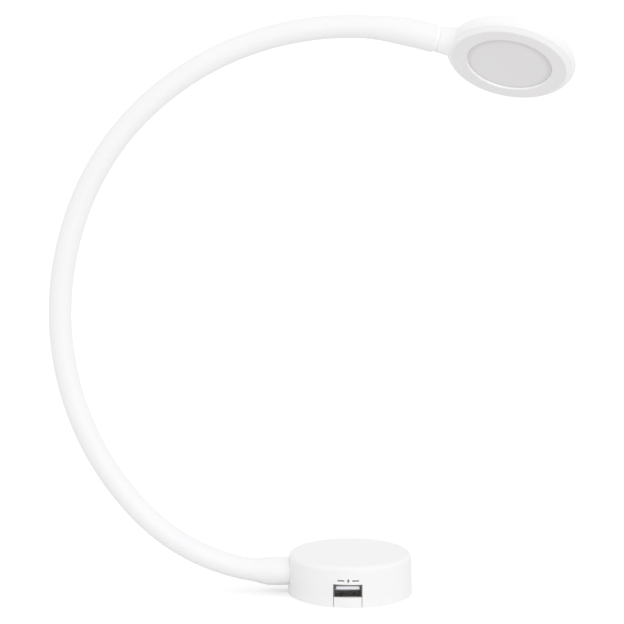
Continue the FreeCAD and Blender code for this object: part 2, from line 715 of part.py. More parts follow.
def terminal_poles():
    """The middle of each pole of the supply terminal."""
    x, y = TERMINAL_AT
    width, depth = TERMINAL_SIZE[:2]
    return [(x + width * share, y + depth * 0.6) for share in (0.25, 0.75)]


def supply_terminal():
    """Two-pole screw terminal for the supply cable, with its wire mouths towards the inlet."""
    (x, y), (width, depth, height) = TERMINAL_AT, TERMINAL_SIZE
    top = BOARD_TOP + height
    block = box(width, depth, height, (x, y, BOARD_TOP))
    front_top = [
        e for e in edges_along(block, 0)
        if e.CenterOfMass.z > top - OVERCUT and e.CenterOfMass.y < y + OVERCUT
    ]
    block = block.makeChamfer(TERMINAL_CHAMFER, front_top)
    mouth, well = TERMINAL_MOUTH, TERMINAL_SCREW_DIAMETER / 2 + TERMINAL_SCREW_PLAY
    for pole_x, pole_y in terminal_poles():
        at = (pole_x - mouth / 2, y - OVERCUT, BOARD_TOP + TERMINAL_FLOOR)
        block = block.cut(box(mouth, TERMINAL_MOUTH_DEPTH + OVERCUT, mouth, at))
        sink = TERMINAL_SCREW_SINK
        block = block.cut(cylinder(well, sink + OVERCUT, (pole_x, pole_y, top - sink)))
    return block


def terminal_screws():
    radius, head = TERMINAL_SCREW_DIAMETER / 2, TERMINAL_SCREW_HEAD
    low = BOARD_TOP + TERMINAL_SIZE[2] - TERMINAL_SCREW_SINK
    slot_width, slot_depth = SCREW_SLOT
    screws = []
    for x, y in terminal_poles():
        slot_at = (x - radius - OVERCUT, y - slot_width / 2, low + head - slot_depth)
        slot = box(2 * (radius + OVERCUT), slot_width, slot_depth + OVERCUT, slot_at)
        screws.append(cylinder(radius, head, (x, y, low)).cut(slot))
    return screws


def touch_leaf():
    """The sprung strip that carries the touch on the base's top down to the board."""
    x, y = LEAF_AT[0], PORT_BACK + LEAF_AT[1]
    metal, foot, top = LEAF_METAL, BOARD_TOP, CEILING - LEAF_GAP
    knee, pad_start = y + LEAF_LEAN, y + LEAF_LEAN + 2 * LEAF_BEND
    strip = polygon(
        [
            vec(x, y, foot),
            vec(x, y + LEAF_FOOT, foot),
            vec(x, y + LEAF_FOOT, foot + metal),
            vec(x, y + 2 * metal, foot + metal),
            vec(x, knee + metal, top - LEAF_BEND - metal),
            vec(x, pad_start, top - metal),
            vec(x, pad_start + LEAF_PAD, top - metal),
            vec(x, pad_start + LEAF_PAD, top),
            vec(x, pad_start - metal, top),
            vec(x, knee, top - LEAF_BEND),
            vec(x, y, foot + metal),
        ]
    )
    return strip.extrude(vec(LEAF_WIDTH, 0, 0))


def base_ferrule():
    """Threaded end fitting: a flange on the seat, and a collar that holds the metal tube."""
    z, seat = NECK_AXIS_HEIGHT, -SLEEVE_SEAT
    collar_end = seat - COLLAR_LENGTH
    part = bar(THREAD_DIAMETER / 2, -THREAD_END, seat - FLANGE_THICKNESS, z)
    part = part.fuse(bar(FLANGE_DIAMETER / 2, seat, seat - FLANGE_THICKNESS, z))
    part = part.fuse(bar(COLLAR_DIAMETER / 2, seat - FLANGE_THICKNESS / 2, collar_end, z))
    part = part.cut(bar(CONDUIT_RADIUS + TUBE_FIT, seat - COLLAR_FLOOR, collar_end - OVERCUT, z))
    return part.cut(bar(CABLE_RADIUS + CABLE_FIT, OVERCUT - THREAD_END, collar_end - OVERCUT, z))


def ferrule_nut():
    radius = NUT_ACROSS_FLATS / math.sqrt(3)
    corners = [
        vec(
            -NUT_SEAT,
            radius * math.cos(math.radians(60 * i)),
            NECK_AXIS_HEIGHT + radius * math.sin(math.radians(60 * i)),
        )
        for i in range(6)
    ]
    nut = polygon(corners).extrude(vec(NUT_THICKNESS, 0, 0))
    hole = THREAD_DIAMETER / 2 + THREAD_FIT
    return nut.cut(bar(hole, -NUT_SEAT - OVERCUT, NUT_THICKNESS - NUT_SEAT + OVERCUT, NECK_AXIS_HEIGHT))


def lamp_leads():
    """The cable's two wires: level from its end, then down to their pads."""
    leads = []
    z, bend = NECK_AXIS_HEIGHT, LEAD_BEND
    start = -BASE_CABLE_END
    end = start + LEAD_RUN
    diagonal = bend * math.sqrt(0.5)
    for y in (-LEAD_SPACING / 2, LEAD_SPACING / 2):
        a, b = vec(start, y, z), vec(end - bend, y, z)
        middle = vec(end - bend + diagonal, y, z - bend + diagonal)
        c, d = vec(end, y, z - bend), vec(end, y, BOARD_TOP)
        path = Part.Wire(
            [
                Part.LineSegment(a, b).toShape(),
                Part.Arc(b, middle, c).toShape(),
                Part.LineSegment(c, d).toShape(),
            ]
        )
        section = Part.Wire(Part.Circle(a, vec(1, 0, 0), LEAD_DIAMETER / 2).toShape())
        leads.append(path.makePipeShell([section], True, False))
    return leads


def base_parts():
    save("base_housing", base_housing())
    save("base_plate", base_plate())
    save("cable_grommet", grommet())
    save("usb_shell", usb_shell())
    save("usb_insulator", usb_insulator())
    save("usb_contacts", *usb_contacts())
    save("charger_board", circuit_board())
    save("board_screws", *board_screws())
    save("buck_inductor", inductor())
    save("output_capacitors", *capacitors())
    save("regulator_chips", *chips())
    save("supply_terminal", supply_terminal())
    save("terminal_screws", *terminal_screws())
    save("touch_leaf", touch_leaf())
    save("base_ferrule", base_ferrule())
    save("ferrule_nut", ferrule_nut())
    save("lamp_leads", *lamp_leads())


# Gooseneck

def flare_stations(run, start, end, first, last):
    """Discs for a flared sleeve, closer together where its radius changes between start and end."""
    marks = [0.0, run.length]
    marks += [start + (end - start) * i / FLARE_STEPS for i in range(FLARE_STEPS + 1)]
    marks += [run.before + run.arc * i / 3 for i in range(4)]
    spaced = []
    for s in sorted(marks):
        if 0 <= s <= run.length and (not spaced or s - spaced[-1] > SLEEVE_FIT):
            spaced.append(s)
    return [(s, taper(s, start, end, first, last)) for s in spaced]


def sleeve(run, previous, following, name):
    """One length of the outer sleeve, with a ball on its far end and a socket in its near one."""
    collar = bar(COLLAR_DIAMETER / 2 + SLEEVE_FIT, -OVERCUT, COLLAR_LENGTH + 2 * SLEEVE_FIT)
    flange = bar(FLANGE_DIAMETER / 2 + SLEEVE_FIT, -OVERCUT, FLANGE_THICKNESS + SLEEVE_FIT)
    if previous is None:
        flare_end = BASE_FLARE_LENGTH + BASE_FLARE_TAPER
        stations = flare_stations(
            run, BASE_FLARE_LENGTH, flare_end, BASE_FLARE_DIAMETER / 2, SLEEVE_RADIUS
        )
        solid = flared(run, stations).cut(placed(collar, run.start)).cut(placed(flange, run.start))
    elif following is None:
        flare_end = run.length - HEAD_FLARE_LENGTH
        stations = flare_stations(
            run, flare_end - HEAD_FLARE_TAPER, flare_end, SLEEVE_RADIUS, HEAD_FLARE_DIAMETER / 2
        )
        collar.rotate(vec(0, 0, 0), vec(0, 1, 0), 180)
        solid = flared(run, stations).cut(placed(collar, run.end()))
    else:
        solid = rod(run, SLEEVE_RADIUS)
    solid = solid.cut(rod(run, SLEEVE_BORE))
    if previous is not None:
        solid = solid.cut(socket_cutter(run))
    if following is not None:
        solid = solid.fuse(ball(run, SLEEVE_BORE))
    save(name, solid)


def conduit(run, previous, following, name):
    """One length of the metal tube that holds the gooseneck's shape."""
    inside = math.sqrt(SLEEVE_RADIUS**2 - CONDUIT_RADIUS**2) - SLEEVE_FIT
    ahead = inside if following is not None else 0.0
    solid = rod(run, CONDUIT_RADIUS, ahead).cut(rod(run, CONDUIT_BORE, SLEEVE_DIAMETER))
    end_cutter = bar(SLEEVE_DIAMETER, -OVERCUT, COLLAR_FLOOR + TUBE_END_GAP)
    if previous is None:
        solid = solid.cut(placed(end_cutter, run.start))
    else:
        solid = solid.cut(socket_cutter(run))
    if following is None:
        end_cutter.rotate(vec(0, 0, 0), vec(0, 1, 0), 180)
        solid = solid.cut(placed(end_cutter, run.end()))
    save(name, solid)


def feed_cable(run, previous, following, name):
    """One length of the two-wire cable that feeds the head."""
    if following is None:
        ahead = NECK_REACH + HEAD_CABLE_X
    else:
        ahead = SLEEVE_RADIUS - CABLE_SHORT
    solid = rod(run, CABLE_RADIUS, ahead)
    if previous is None:
        solid = solid.fuse(placed(bar(CABLE_RADIUS, BASE_CABLE_END - SLEEVE_SEAT, 0), run.start))
    else:
        solid = solid.cut(socket_cutter(run))
    save(name, solid)


def arm_parts(runs):
    names = ["base", *(str(i) for i in range(1, len(LINK_TURNS) + 1)), "head"]
    for i, run in enumerate(runs):
        previous = runs[i - 1] if i else None
        following = runs[i + 1] if i + 1 < len(runs) else None
        sleeve(run, previous, following, f"sleeve_{names[i]}")
        conduit(run, previous, following, f"gooseneck_tube_{names[i]}")
        feed_cable(run, previous, following, f"feed_cable_{names[i]}")


# Lamp head

def head_placement(runs):
    end = runs[-1].end()
    centre = end.multiply(Placement(vec(NECK_REACH, 0, 0), Rotation()))
    return centre.multiply(Placement(vec(0, 0, 0), Rotation(vec(1, 0, 0), -HEAD_ROLL)))


def ellipse_wire(x, half_width, half_height, z=0.0):
    centre, side, top = vec(x, 0, z), vec(x, half_width, z), vec(x, 0, z + half_height)
    if math.isclose(half_width, half_height):
        circle = Part.Circle(centre, vec(1, 0, 0), half_width)
        circle.rotate(Placement(vec(0, 0, 0), Rotation(vec(1, 0, 0), -90), centre))
        return Part.Wire(circle.toShape())
    return Part.Wire(Part.Ellipse(side, top, centre).toShape())


def neck():
    """The neck: round at the sleeve, then wider and flatter as it runs into the disc."""
    radius = NECK_DIAMETER / 2
    start, end = -NECK_REACH + NECK_STRAIGHT, -HEAD_RADIUS + NECK_SINK
    sections = [
        ellipse_wire(start + share * (end - start), radius + wider, radius + taller, lift)
        for share, wider, taller, lift in NECK_FLARE
    ]
    width, depth = NECK_GROOVE
    collar = bar(radius, -NECK_REACH, start - width)
    waist = bar(radius - depth, start - width - OVERCUT, start + OVERCUT)
    return Part.makeLoft(sections, True, False).fuse(waist).fuse(collar)


def disc_form():
    """The disc of the housing before it is hollowed."""
    flat, r, top, mid = HEAD_BACK_FLAT, HEAD_RADIUS, HEAD_BACK, HEAD_WIDEST
    shoulder = (flat + (r - flat) * math.sqrt(0.5), mid + (top - mid) * math.sqrt(0.5))
    under = ((r + HEAD_LIP_RADIUS) / 2 + HEAD_SIDE_BULGE, (mid + HEAD_LIP) / 2)
    return turned(
        [(0, top), (flat, top), (r, mid), (HEAD_LIP_RADIUS, HEAD_LIP), (0, HEAD_LIP)],
        {1: shoulder, 2: under},
    )


def disc_cavity():
    """The hollow that takes the LED board and the bezel, with the groove for the bezel's snap bead."""
    roof = HEAD_BACK - HEAD_WALL
    bead = HEAD_LIP + BEAD_RISE
    groove = BEZEL_POCKET + BEAD_HEIGHT
    return turned(
        [
            (0, roof),
            (HEAD_BACK_FLAT - BEZEL_INNER_CHAMFER, roof),
            (BEZEL_POCKET, HEAD_LIP + BEZEL_RIM_HEIGHT + BEZEL_GAP),
            (BEZEL_POCKET, bead + BEAD_WIDTH / 2 + GROOVE_GAP + BEAD_HEIGHT),
            (groove, bead + BEAD_WIDTH / 2 + GROOVE_GAP),
            (groove, bead - BEAD_WIDTH / 2 - GROOVE_GAP),
            (BEZEL_POCKET, bead - BEAD_WIDTH / 2 - GROOVE_GAP - BEAD_HEIGHT),
            (BEZEL_POCKET, HEAD_LIP - OVERCUT),
            (0, HEAD_LIP - OVERCUT),
        ]
    )


def head_housing():
    """The moulded shell: disc and neck in one, with a shelf that takes the end fitting and its screw."""
    form = disc_form().fuse(neck())
    shelf_start = -BEZEL_POCKET - SHELF_START
    shelf_end = TAIL_END - SHELF_END_GAP
    shelf_size = (shelf_end - shelf_start, SHELF_WIDTH, HEAD_BACK - SHELF_LOW)
    shelf = box(*shelf_size, (shelf_start, -SHELF_WIDTH / 2, SHELF_LOW)).common(form)
    form = form.cut(disc_cavity()).fuse(shelf)
    form = form.cut(bar(PLUG_DIAMETER / 2 + PLUG_FIT, -NECK_REACH - OVERCUT, PLUG_END + PLUG_FIT))
    tail = TAIL_THICKNESS + 2 * TAIL_FIT
    slot_start = PLUG_END - TAIL_ROOT
    slot_size = (shelf_end + OVERCUT - slot_start, TAIL_WIDTH + 2 * TAIL_SIDE_PLAY, tail)
    slot_at = (slot_start, -slot_size[1] / 2, TAIL_LOW - TAIL_FIT)
    form = form.cut(box(*slot_size, slot_at))
    form = form.cut(bar(CABLE_RADIUS + CABLE_FIT, PLUG_END - OVERCUT, shelf_end + OVERCUT))
    top, low = (TAIL_SCREW_X, 0, TAIL_LOW + TAIL_THICKNESS), (TAIL_SCREW_X, 0, TAIL_LOW)
    pilot = cylinder(TAIL_SCREW_DIAMETER / 2, TAIL_SCREW_LENGTH + TAIL_PILOT_SPARE, top)
    access = cylinder(TAIL_SCREW_HEAD / 2 + TAIL_SCREW_ACCESS, HEAD_RADIUS, low, (0, 0, -1))
    return form.cut(pilot).cut(access)


def head_ferrule():
    """End fitting in the head's neck: a collar in the sleeve's flare and a flat tail for the screw."""
    collar_start = -NECK_REACH - COLLAR_LENGTH
    tail_start = PLUG_END - TAIL_ROOT
    tail_at = (tail_start, -TAIL_WIDTH / 2, TAIL_LOW)
    part = bar(COLLAR_DIAMETER / 2, collar_start, -NECK_REACH)
    part = part.fuse(bar(PLUG_DIAMETER / 2, -NECK_REACH, PLUG_END))
    part = part.fuse(box(TAIL_END - tail_start, TAIL_WIDTH, TAIL_THICKNESS, tail_at))
    part = part.cut(bar(CONDUIT_RADIUS + TUBE_FIT, collar_start - OVERCUT, -NECK_REACH - COLLAR_FLOOR))
    part = part.cut(bar(CABLE_RADIUS + CABLE_FIT, collar_start - OVERCUT, PLUG_END + OVERCUT))
    under = (TAIL_SCREW_X, 0, TAIL_LOW - OVERCUT)
    hole = cylinder(TAIL_SCREW_DIAMETER / 2 + SCREW_PLAY, TAIL_THICKNESS + 2 * OVERCUT, under)
    return part.cut(hole)


def neck_screw():
    low = TAIL_LOW - TAIL_SCREW_HEAD_HEIGHT
    slot_width, slot_depth = SCREW_SLOT
    head = cylinder(TAIL_SCREW_HEAD / 2, TAIL_SCREW_HEAD_HEIGHT, (TAIL_SCREW_X, 0, low))
    shank = cylinder(
        TAIL_SCREW_DIAMETER / 2 - THREAD_FIT, TAIL_THICKNESS + TAIL_SCREW_LENGTH, (TAIL_SCREW_X, 0, TAIL_LOW)
    )
    slot_at = (TAIL_SCREW_X - TAIL_SCREW_HEAD, -slot_width / 2, low - OVERCUT)
    return head.fuse(shank).cut(box(2 * TAIL_SCREW_HEAD, slot_width, slot_depth + OVERCUT, slot_at))


def bezel():
    """Front ring: rounded edge, chamfered inner wall, ledge for the diffuser, and a snap bead behind."""
    face, r, edge = BEZEL_FACE, BEZEL_RADIUS, BEZEL_EDGE
    bead = HEAD_LIP + BEAD_RISE
    rim_top = HEAD_LIP + BEZEL_RIM_HEIGHT
    back = LENS_TOP + REFLECTOR_THICKNESS
    inner = LENS_OUTER + LENS_PLAY
    profile = [
        (LENS_RADIUS + BEZEL_INNER_CHAMFER, face),
        (r - edge, face),
        (r, face + edge),
        (r, bead - BEAD_WIDTH / 2),
        (r + BEAD_HEIGHT, bead),
        (r, bead + BEAD_WIDTH / 2),
        (r, rim_top),
        (r - BEZEL_RIM_WALL, rim_top),
        (r - BEZEL_RIM_WALL, back),
        (inner, back),
        (inner, LENS_LOW),
        (LENS_RADIUS, LENS_LOW),
        (LENS_RADIUS, face + BEZEL_INNER_CHAMFER),
    ]
    body = turned(profile, {1: quarter_bulge(r, face, edge, down=True)})
    width = SHELF_WIDTH + 2 * RELIEF_MARGIN
    shelf_end = TAIL_END - SHELF_END_GAP
    relief = box(
        shelf_end + RELIEF_MARGIN / 2 + r + OVERCUT,
        width,
        HEAD_BACK - SHELF_LOW,
        (-r - OVERCUT, -width / 2, SHELF_LOW - RELIEF_MARGIN / 3),
    )
    return body.cut(relief)


def diffuser():
    return cylinder(LENS_OUTER, LENS_THICKNESS, (0, 0, LENS_LOW + LENS_GAP))


def reflector():
    """White ring that carries the light out to the diffuser's edge."""
    low, high = LENS_TOP + 2 * LENS_GAP, LED_BOARD_LOW
    foot, top = LENS_OUTER - REFLECTOR_FOOT, LENS_OUTER - REFLECTOR_TOP
    wall = turned([(foot, low), (LENS_OUTER, low), (LENS_OUTER, high), (top, high)])
    width, left = REFLECTOR_NOTCH
    notch = box(LENS_OUTER, width, high - low, (-LENS_OUTER - OVERCUT, -width / 2, low + left))
    return wall.cut(notch)


def leds():
    x, y, z = LED_SIZE
    found = []
    for count, radius in LED_RINGS:
        for i in range(count):
            led = box(x, y, z, (radius - x / 2, -y / 2, LED_BOARD_LOW - z))
            found.append(around(led, 360 * i / count))
    return found


def head_leads():
    """Two wires from the cable's end to the pads at the LED board's rim."""
    wires = []
    z = LED_BOARD_LOW - HEAD_LEAD_DIAMETER / 2 - HEAD_LEAD_GAP
    start = HEAD_CABLE_X + HEAD_LEAD_GAP
    for side in (-1, 1):
        y = side * HEAD_LEAD_SPACING / 2
        a, b = vec(start, y, 0), vec(start + HEAD_LEAD_LEVEL, y, 0)
        c = vec(-STACK_RADIUS + HEAD_PAD_INSET, side * HEAD_PAD_SPACING / 2, z)
        path = Part.Wire([Part.LineSegment(a, b).toShape(), Part.LineSegment(b, c).toShape()])
        section = Part.Wire(Part.Circle(a, vec(1, 0, 0), HEAD_LEAD_DIAMETER / 2).toShape())
        wires.append(path.makePipeShell([section], True, False, 1))
    return wires


def head_parts(place):
    save("head_housing", placed(head_housing(), place))
    save("head_bezel", placed(bezel(), place))
    save("diffuser", placed(diffuser(), place))
    save("reflector_ring", placed(reflector(), place))
    led_board = cylinder(STACK_RADIUS, LED_BOARD_THICKNESS, (0, 0, LED_BOARD_LOW))
    save("led_board", placed(led_board, place))
    save("leds", *[placed(led, place) for led in leds()])
    spreader = cylinder(STACK_RADIUS, HEAT_SPREADER_THICKNESS, (0, 0, HEAT_SPREADER_LOW))
    save("heat_spreader", placed(spreader, place))
    save("head_ferrule", placed(head_ferrule(), place))
    save("neck_screw", placed(neck_screw(), place))
    save("led_leads", *[placed(wire, place) for wire in head_leads()])


def main():
    os.makedirs("parts", exist_ok=True)
    runs = arm_runs()
    base_parts()
    arm_parts(runs)
    head_parts(head_placement(runs))


main()
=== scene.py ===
"""A surface-mounted gooseneck reading lamp: finishes, sleeve, front ring, mark and studio."""

from __future__ import annotations

import json
import logging
import math
from dataclasses import dataclass, field
from enum import Enum

import bpy
from mathutils import Euler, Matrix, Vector

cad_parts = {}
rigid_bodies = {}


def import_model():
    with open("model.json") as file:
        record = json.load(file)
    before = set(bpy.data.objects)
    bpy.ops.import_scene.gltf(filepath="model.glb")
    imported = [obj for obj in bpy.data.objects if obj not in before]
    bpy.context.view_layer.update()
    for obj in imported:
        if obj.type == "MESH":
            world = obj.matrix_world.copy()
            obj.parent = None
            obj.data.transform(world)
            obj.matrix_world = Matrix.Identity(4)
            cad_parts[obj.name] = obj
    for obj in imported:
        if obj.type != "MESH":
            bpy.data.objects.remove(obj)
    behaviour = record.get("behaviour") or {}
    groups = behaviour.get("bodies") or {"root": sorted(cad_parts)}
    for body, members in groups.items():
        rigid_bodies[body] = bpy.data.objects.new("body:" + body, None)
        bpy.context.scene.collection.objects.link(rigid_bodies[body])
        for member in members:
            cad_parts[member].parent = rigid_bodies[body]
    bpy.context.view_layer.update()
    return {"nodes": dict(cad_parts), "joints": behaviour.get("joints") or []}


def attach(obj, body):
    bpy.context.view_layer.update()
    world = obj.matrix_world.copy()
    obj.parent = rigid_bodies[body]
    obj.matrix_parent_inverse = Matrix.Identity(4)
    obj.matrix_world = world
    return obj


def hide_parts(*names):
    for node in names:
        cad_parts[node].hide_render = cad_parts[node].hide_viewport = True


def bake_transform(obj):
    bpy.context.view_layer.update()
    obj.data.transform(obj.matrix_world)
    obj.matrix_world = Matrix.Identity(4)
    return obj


MM = 0.001
WHITE = (1.0, 1.0, 1.0, 1.0)
BLACK = (0.0, 0.0, 0.0, 1.0)
# How fine a surface's grain and clouds are unless a finish says so, as counts per metre.
GRAIN_SCALE = 4000.0
CLOUD_SCALE = 60.0
# Corners closer than this, in metres, are one corner.
SAME_CORNER = 0.000002
# Faces that meet at less than this, in degrees, are shaded as one.
SMOOTH_ANGLE = 30.0
LOG = logging.getLogger("reading_lamp")

Colour = tuple[float, float, float]
Socket = bpy.types.NodeSocket


class Slot(Enum):
    """The record's material slots that the pieces modelled here take."""

    HOUSING = "housing_white"
    SLEEVE = "sleeve_silicone"
    BLACK = "component_black"


class Effect(Enum):
    """The shared surface effects, each a shader node group."""

    GRAIN = "surface_grain"
    STREAKS = "drawn_streaks"
    EDGE_WEAR = "handled_edges"


# Shared effects


@dataclass
class EffectKit:
    """Builds each shared effect once and places it in a material."""

    groups: dict[Effect, bpy.types.NodeTree] = field(default_factory=dict)
    grain_detail: float = 3.0
    grain_roughness: float = 0.6
    cloud_detail: float = 4.0
    cell_share: float = 0.35
    grain_gloss_share: float = 0.5
    streak_detail: float = 4.0
    streak_contrast: tuple[float, float] = (0.3, 0.7)
    flat: float = 0.5
    worn_edges: tuple[float, float] = (0.52, 0.62)
    wear_scale: float = 700.0
    wear_detail: float = 2.0

    def new_group(
        self, effect: Effect, inputs: dict[str, tuple[str, float]], outputs: list[str]
    ) -> tuple[bpy.types.NodeTree, bpy.types.Node, bpy.types.Node]:
        """Starts a node group.

        Args:
            effect: which effect the group makes.
            inputs: socket type and default value by socket name.
            outputs: names of the value sockets that come out.

        Returns:
            The group's node tree, its input node and its output node.
        """
        tree = bpy.data.node_groups.new(effect.value, "ShaderNodeTree")
        for name, (kind, value) in inputs.items():
            socket = tree.interface.new_socket(name, in_out="INPUT", socket_type=kind)
            if kind == "NodeSocketFloat":
                socket.default_value = value
        for name in outputs:
            tree.interface.new_socket(name, in_out="OUTPUT", socket_type="NodeSocketFloat")
        return tree, tree.nodes.new("NodeGroupInput"), tree.nodes.new("NodeGroupOutput")

    def grain(self) -> bpy.types.NodeTree:
        """A moulded or rubbed grain: a fine height, a slow tone and a gloss that changes with both.

        Returns:
            The node tree, with Height, Tone and Gloss from 0 to 1.
        """
        tree, start, end = self.new_group(
            Effect.GRAIN,
            {
                "Vector": ("NodeSocketVector", 0.0),
                "Grain Scale": ("NodeSocketFloat", GRAIN_SCALE),
                "Cloud Scale": ("NodeSocketFloat", CLOUD_SCALE),
            },
            ["Height", "Tone", "Gloss"],
        )
        fine = tree.nodes.new("ShaderNodeTexNoise")
        fine.inputs["Detail"].default_value = self.grain_detail
        fine.inputs["Roughness"].default_value = self.grain_roughness
        cells = tree.nodes.new("ShaderNodeTexVoronoi")
        cloud = tree.nodes.new("ShaderNodeTexNoise")
        cloud.inputs["Detail"].default_value = self.cloud_detail
        for node, scale in ((fine, "Grain Scale"), (cells, "Grain Scale"), (cloud, "Cloud Scale")):
            tree.links.new(start.outputs["Vector"], node.inputs["Vector"])
            tree.links.new(start.outputs[scale], node.inputs["Scale"])
        height = tree.nodes.new("ShaderNodeMix")
        height.inputs["Factor"].default_value = self.cell_share
        tree.links.new(fine.outputs["Fac"], height.inputs["A"])
        tree.links.new(cells.outputs["Distance"], height.inputs["B"])
        gloss = tree.nodes.new("ShaderNodeMix")
        gloss.inputs["Factor"].default_value = self.grain_gloss_share
        tree.links.new(cloud.outputs["Fac"], gloss.inputs["A"])
        tree.links.new(fine.outputs["Fac"], gloss.inputs["B"])
        tree.links.new(height.outputs["Result"], end.inputs["Height"])
        tree.links.new(cloud.outputs["Fac"], end.inputs["Tone"])
        tree.links.new(gloss.outputs["Result"], end.inputs["Gloss"])
        return tree

    def streaks(self) -> bpy.types.NodeTree:
        """Fine parallel lines along one direction, as drawn or extruded stock has.

        Returns:
            The node tree, with Height and Gloss from 0 to 1.
        """
        tree, start, end = self.new_group(
            Effect.STREAKS,
            {
                "Vector": ("NodeSocketVector", 0.0),
                "Along": ("NodeSocketFloat", CLOUD_SCALE),
                "Across": ("NodeSocketFloat", GRAIN_SCALE),
            },
            ["Height", "Gloss"],
        )
        stretch = tree.nodes.new("ShaderNodeVectorMath")
        stretch.operation = "MULTIPLY"
        ratios = tree.nodes.new("ShaderNodeCombineXYZ")
        for axis, socket in (("X", "Across"), ("Y", "Across"), ("Z", "Along")):
            tree.links.new(start.outputs[socket], ratios.inputs[axis])
        tree.links.new(start.outputs["Vector"], stretch.inputs[0])
        tree.links.new(ratios.outputs["Vector"], stretch.inputs[1])
        lines = tree.nodes.new("ShaderNodeTexNoise")
        lines.inputs["Scale"].default_value = 1.0
        lines.inputs["Detail"].default_value = self.streak_detail
        tree.links.new(stretch.outputs["Vector"], lines.inputs["Vector"])
        contrast = tree.nodes.new("ShaderNodeMapRange")
        contrast.inputs["From Min"].default_value = self.streak_contrast[0]
        contrast.inputs["From Max"].default_value = self.streak_contrast[1]
        tree.links.new(lines.outputs["Fac"], contrast.inputs["Value"])
        tree.links.new(lines.outputs["Fac"], end.inputs["Height"])
        tree.links.new(contrast.outputs["Result"], end.inputs["Gloss"])
        return tree

    def edge_wear(self) -> bpy.types.NodeTree:
        """A mask of the convex edges, broken up as handling breaks it up.

        Returns:
            The node tree, with Mask from 0 to 1.
        """
        tree, start, end = self.new_group(
            Effect.EDGE_WEAR,
            {"Vector": ("NodeSocketVector", 0.0), "Pointiness": ("NodeSocketFloat", self.flat)},
            ["Mask"],
        )
        edge = tree.nodes.new("ShaderNodeMapRange")
        edge.inputs["From Min"].default_value = self.worn_edges[0]
        edge.inputs["From Max"].default_value = self.worn_edges[1]
        tree.links.new(start.outputs["Pointiness"], edge.inputs["Value"])
        breaks = tree.nodes.new("ShaderNodeTexNoise")
        breaks.inputs["Scale"].default_value = self.wear_scale
        breaks.inputs["Detail"].default_value = self.wear_detail
        tree.links.new(start.outputs["Vector"], breaks.inputs["Vector"])
        mask = tree.nodes.new("ShaderNodeMath")
        mask.operation = "MULTIPLY"
        tree.links.new(edge.outputs["Result"], mask.inputs[0])
        tree.links.new(breaks.outputs["Fac"], mask.inputs[1])
        tree.links.new(mask.outputs["Value"], end.inputs["Mask"])
        return tree

    def place(self, tree: bpy.types.NodeTree, effect: Effect) -> bpy.types.Node:
        """Places one effect in a material.

        Args:
            tree: the material's node tree.
            effect: which effect to place.

        Returns:
            The group node.
        """
        makers = {
            Effect.GRAIN: self.grain,
            Effect.STREAKS: self.streaks,
            Effect.EDGE_WEAR: self.edge_wear,
        }
        if effect not in self.groups:
            self.groups[effect] = makers[effect]()
        node = tree.nodes.new("ShaderNodeGroup")
        node.node_tree = self.groups[effect]
        return node


EFFECTS = EffectKit()


# Finishes


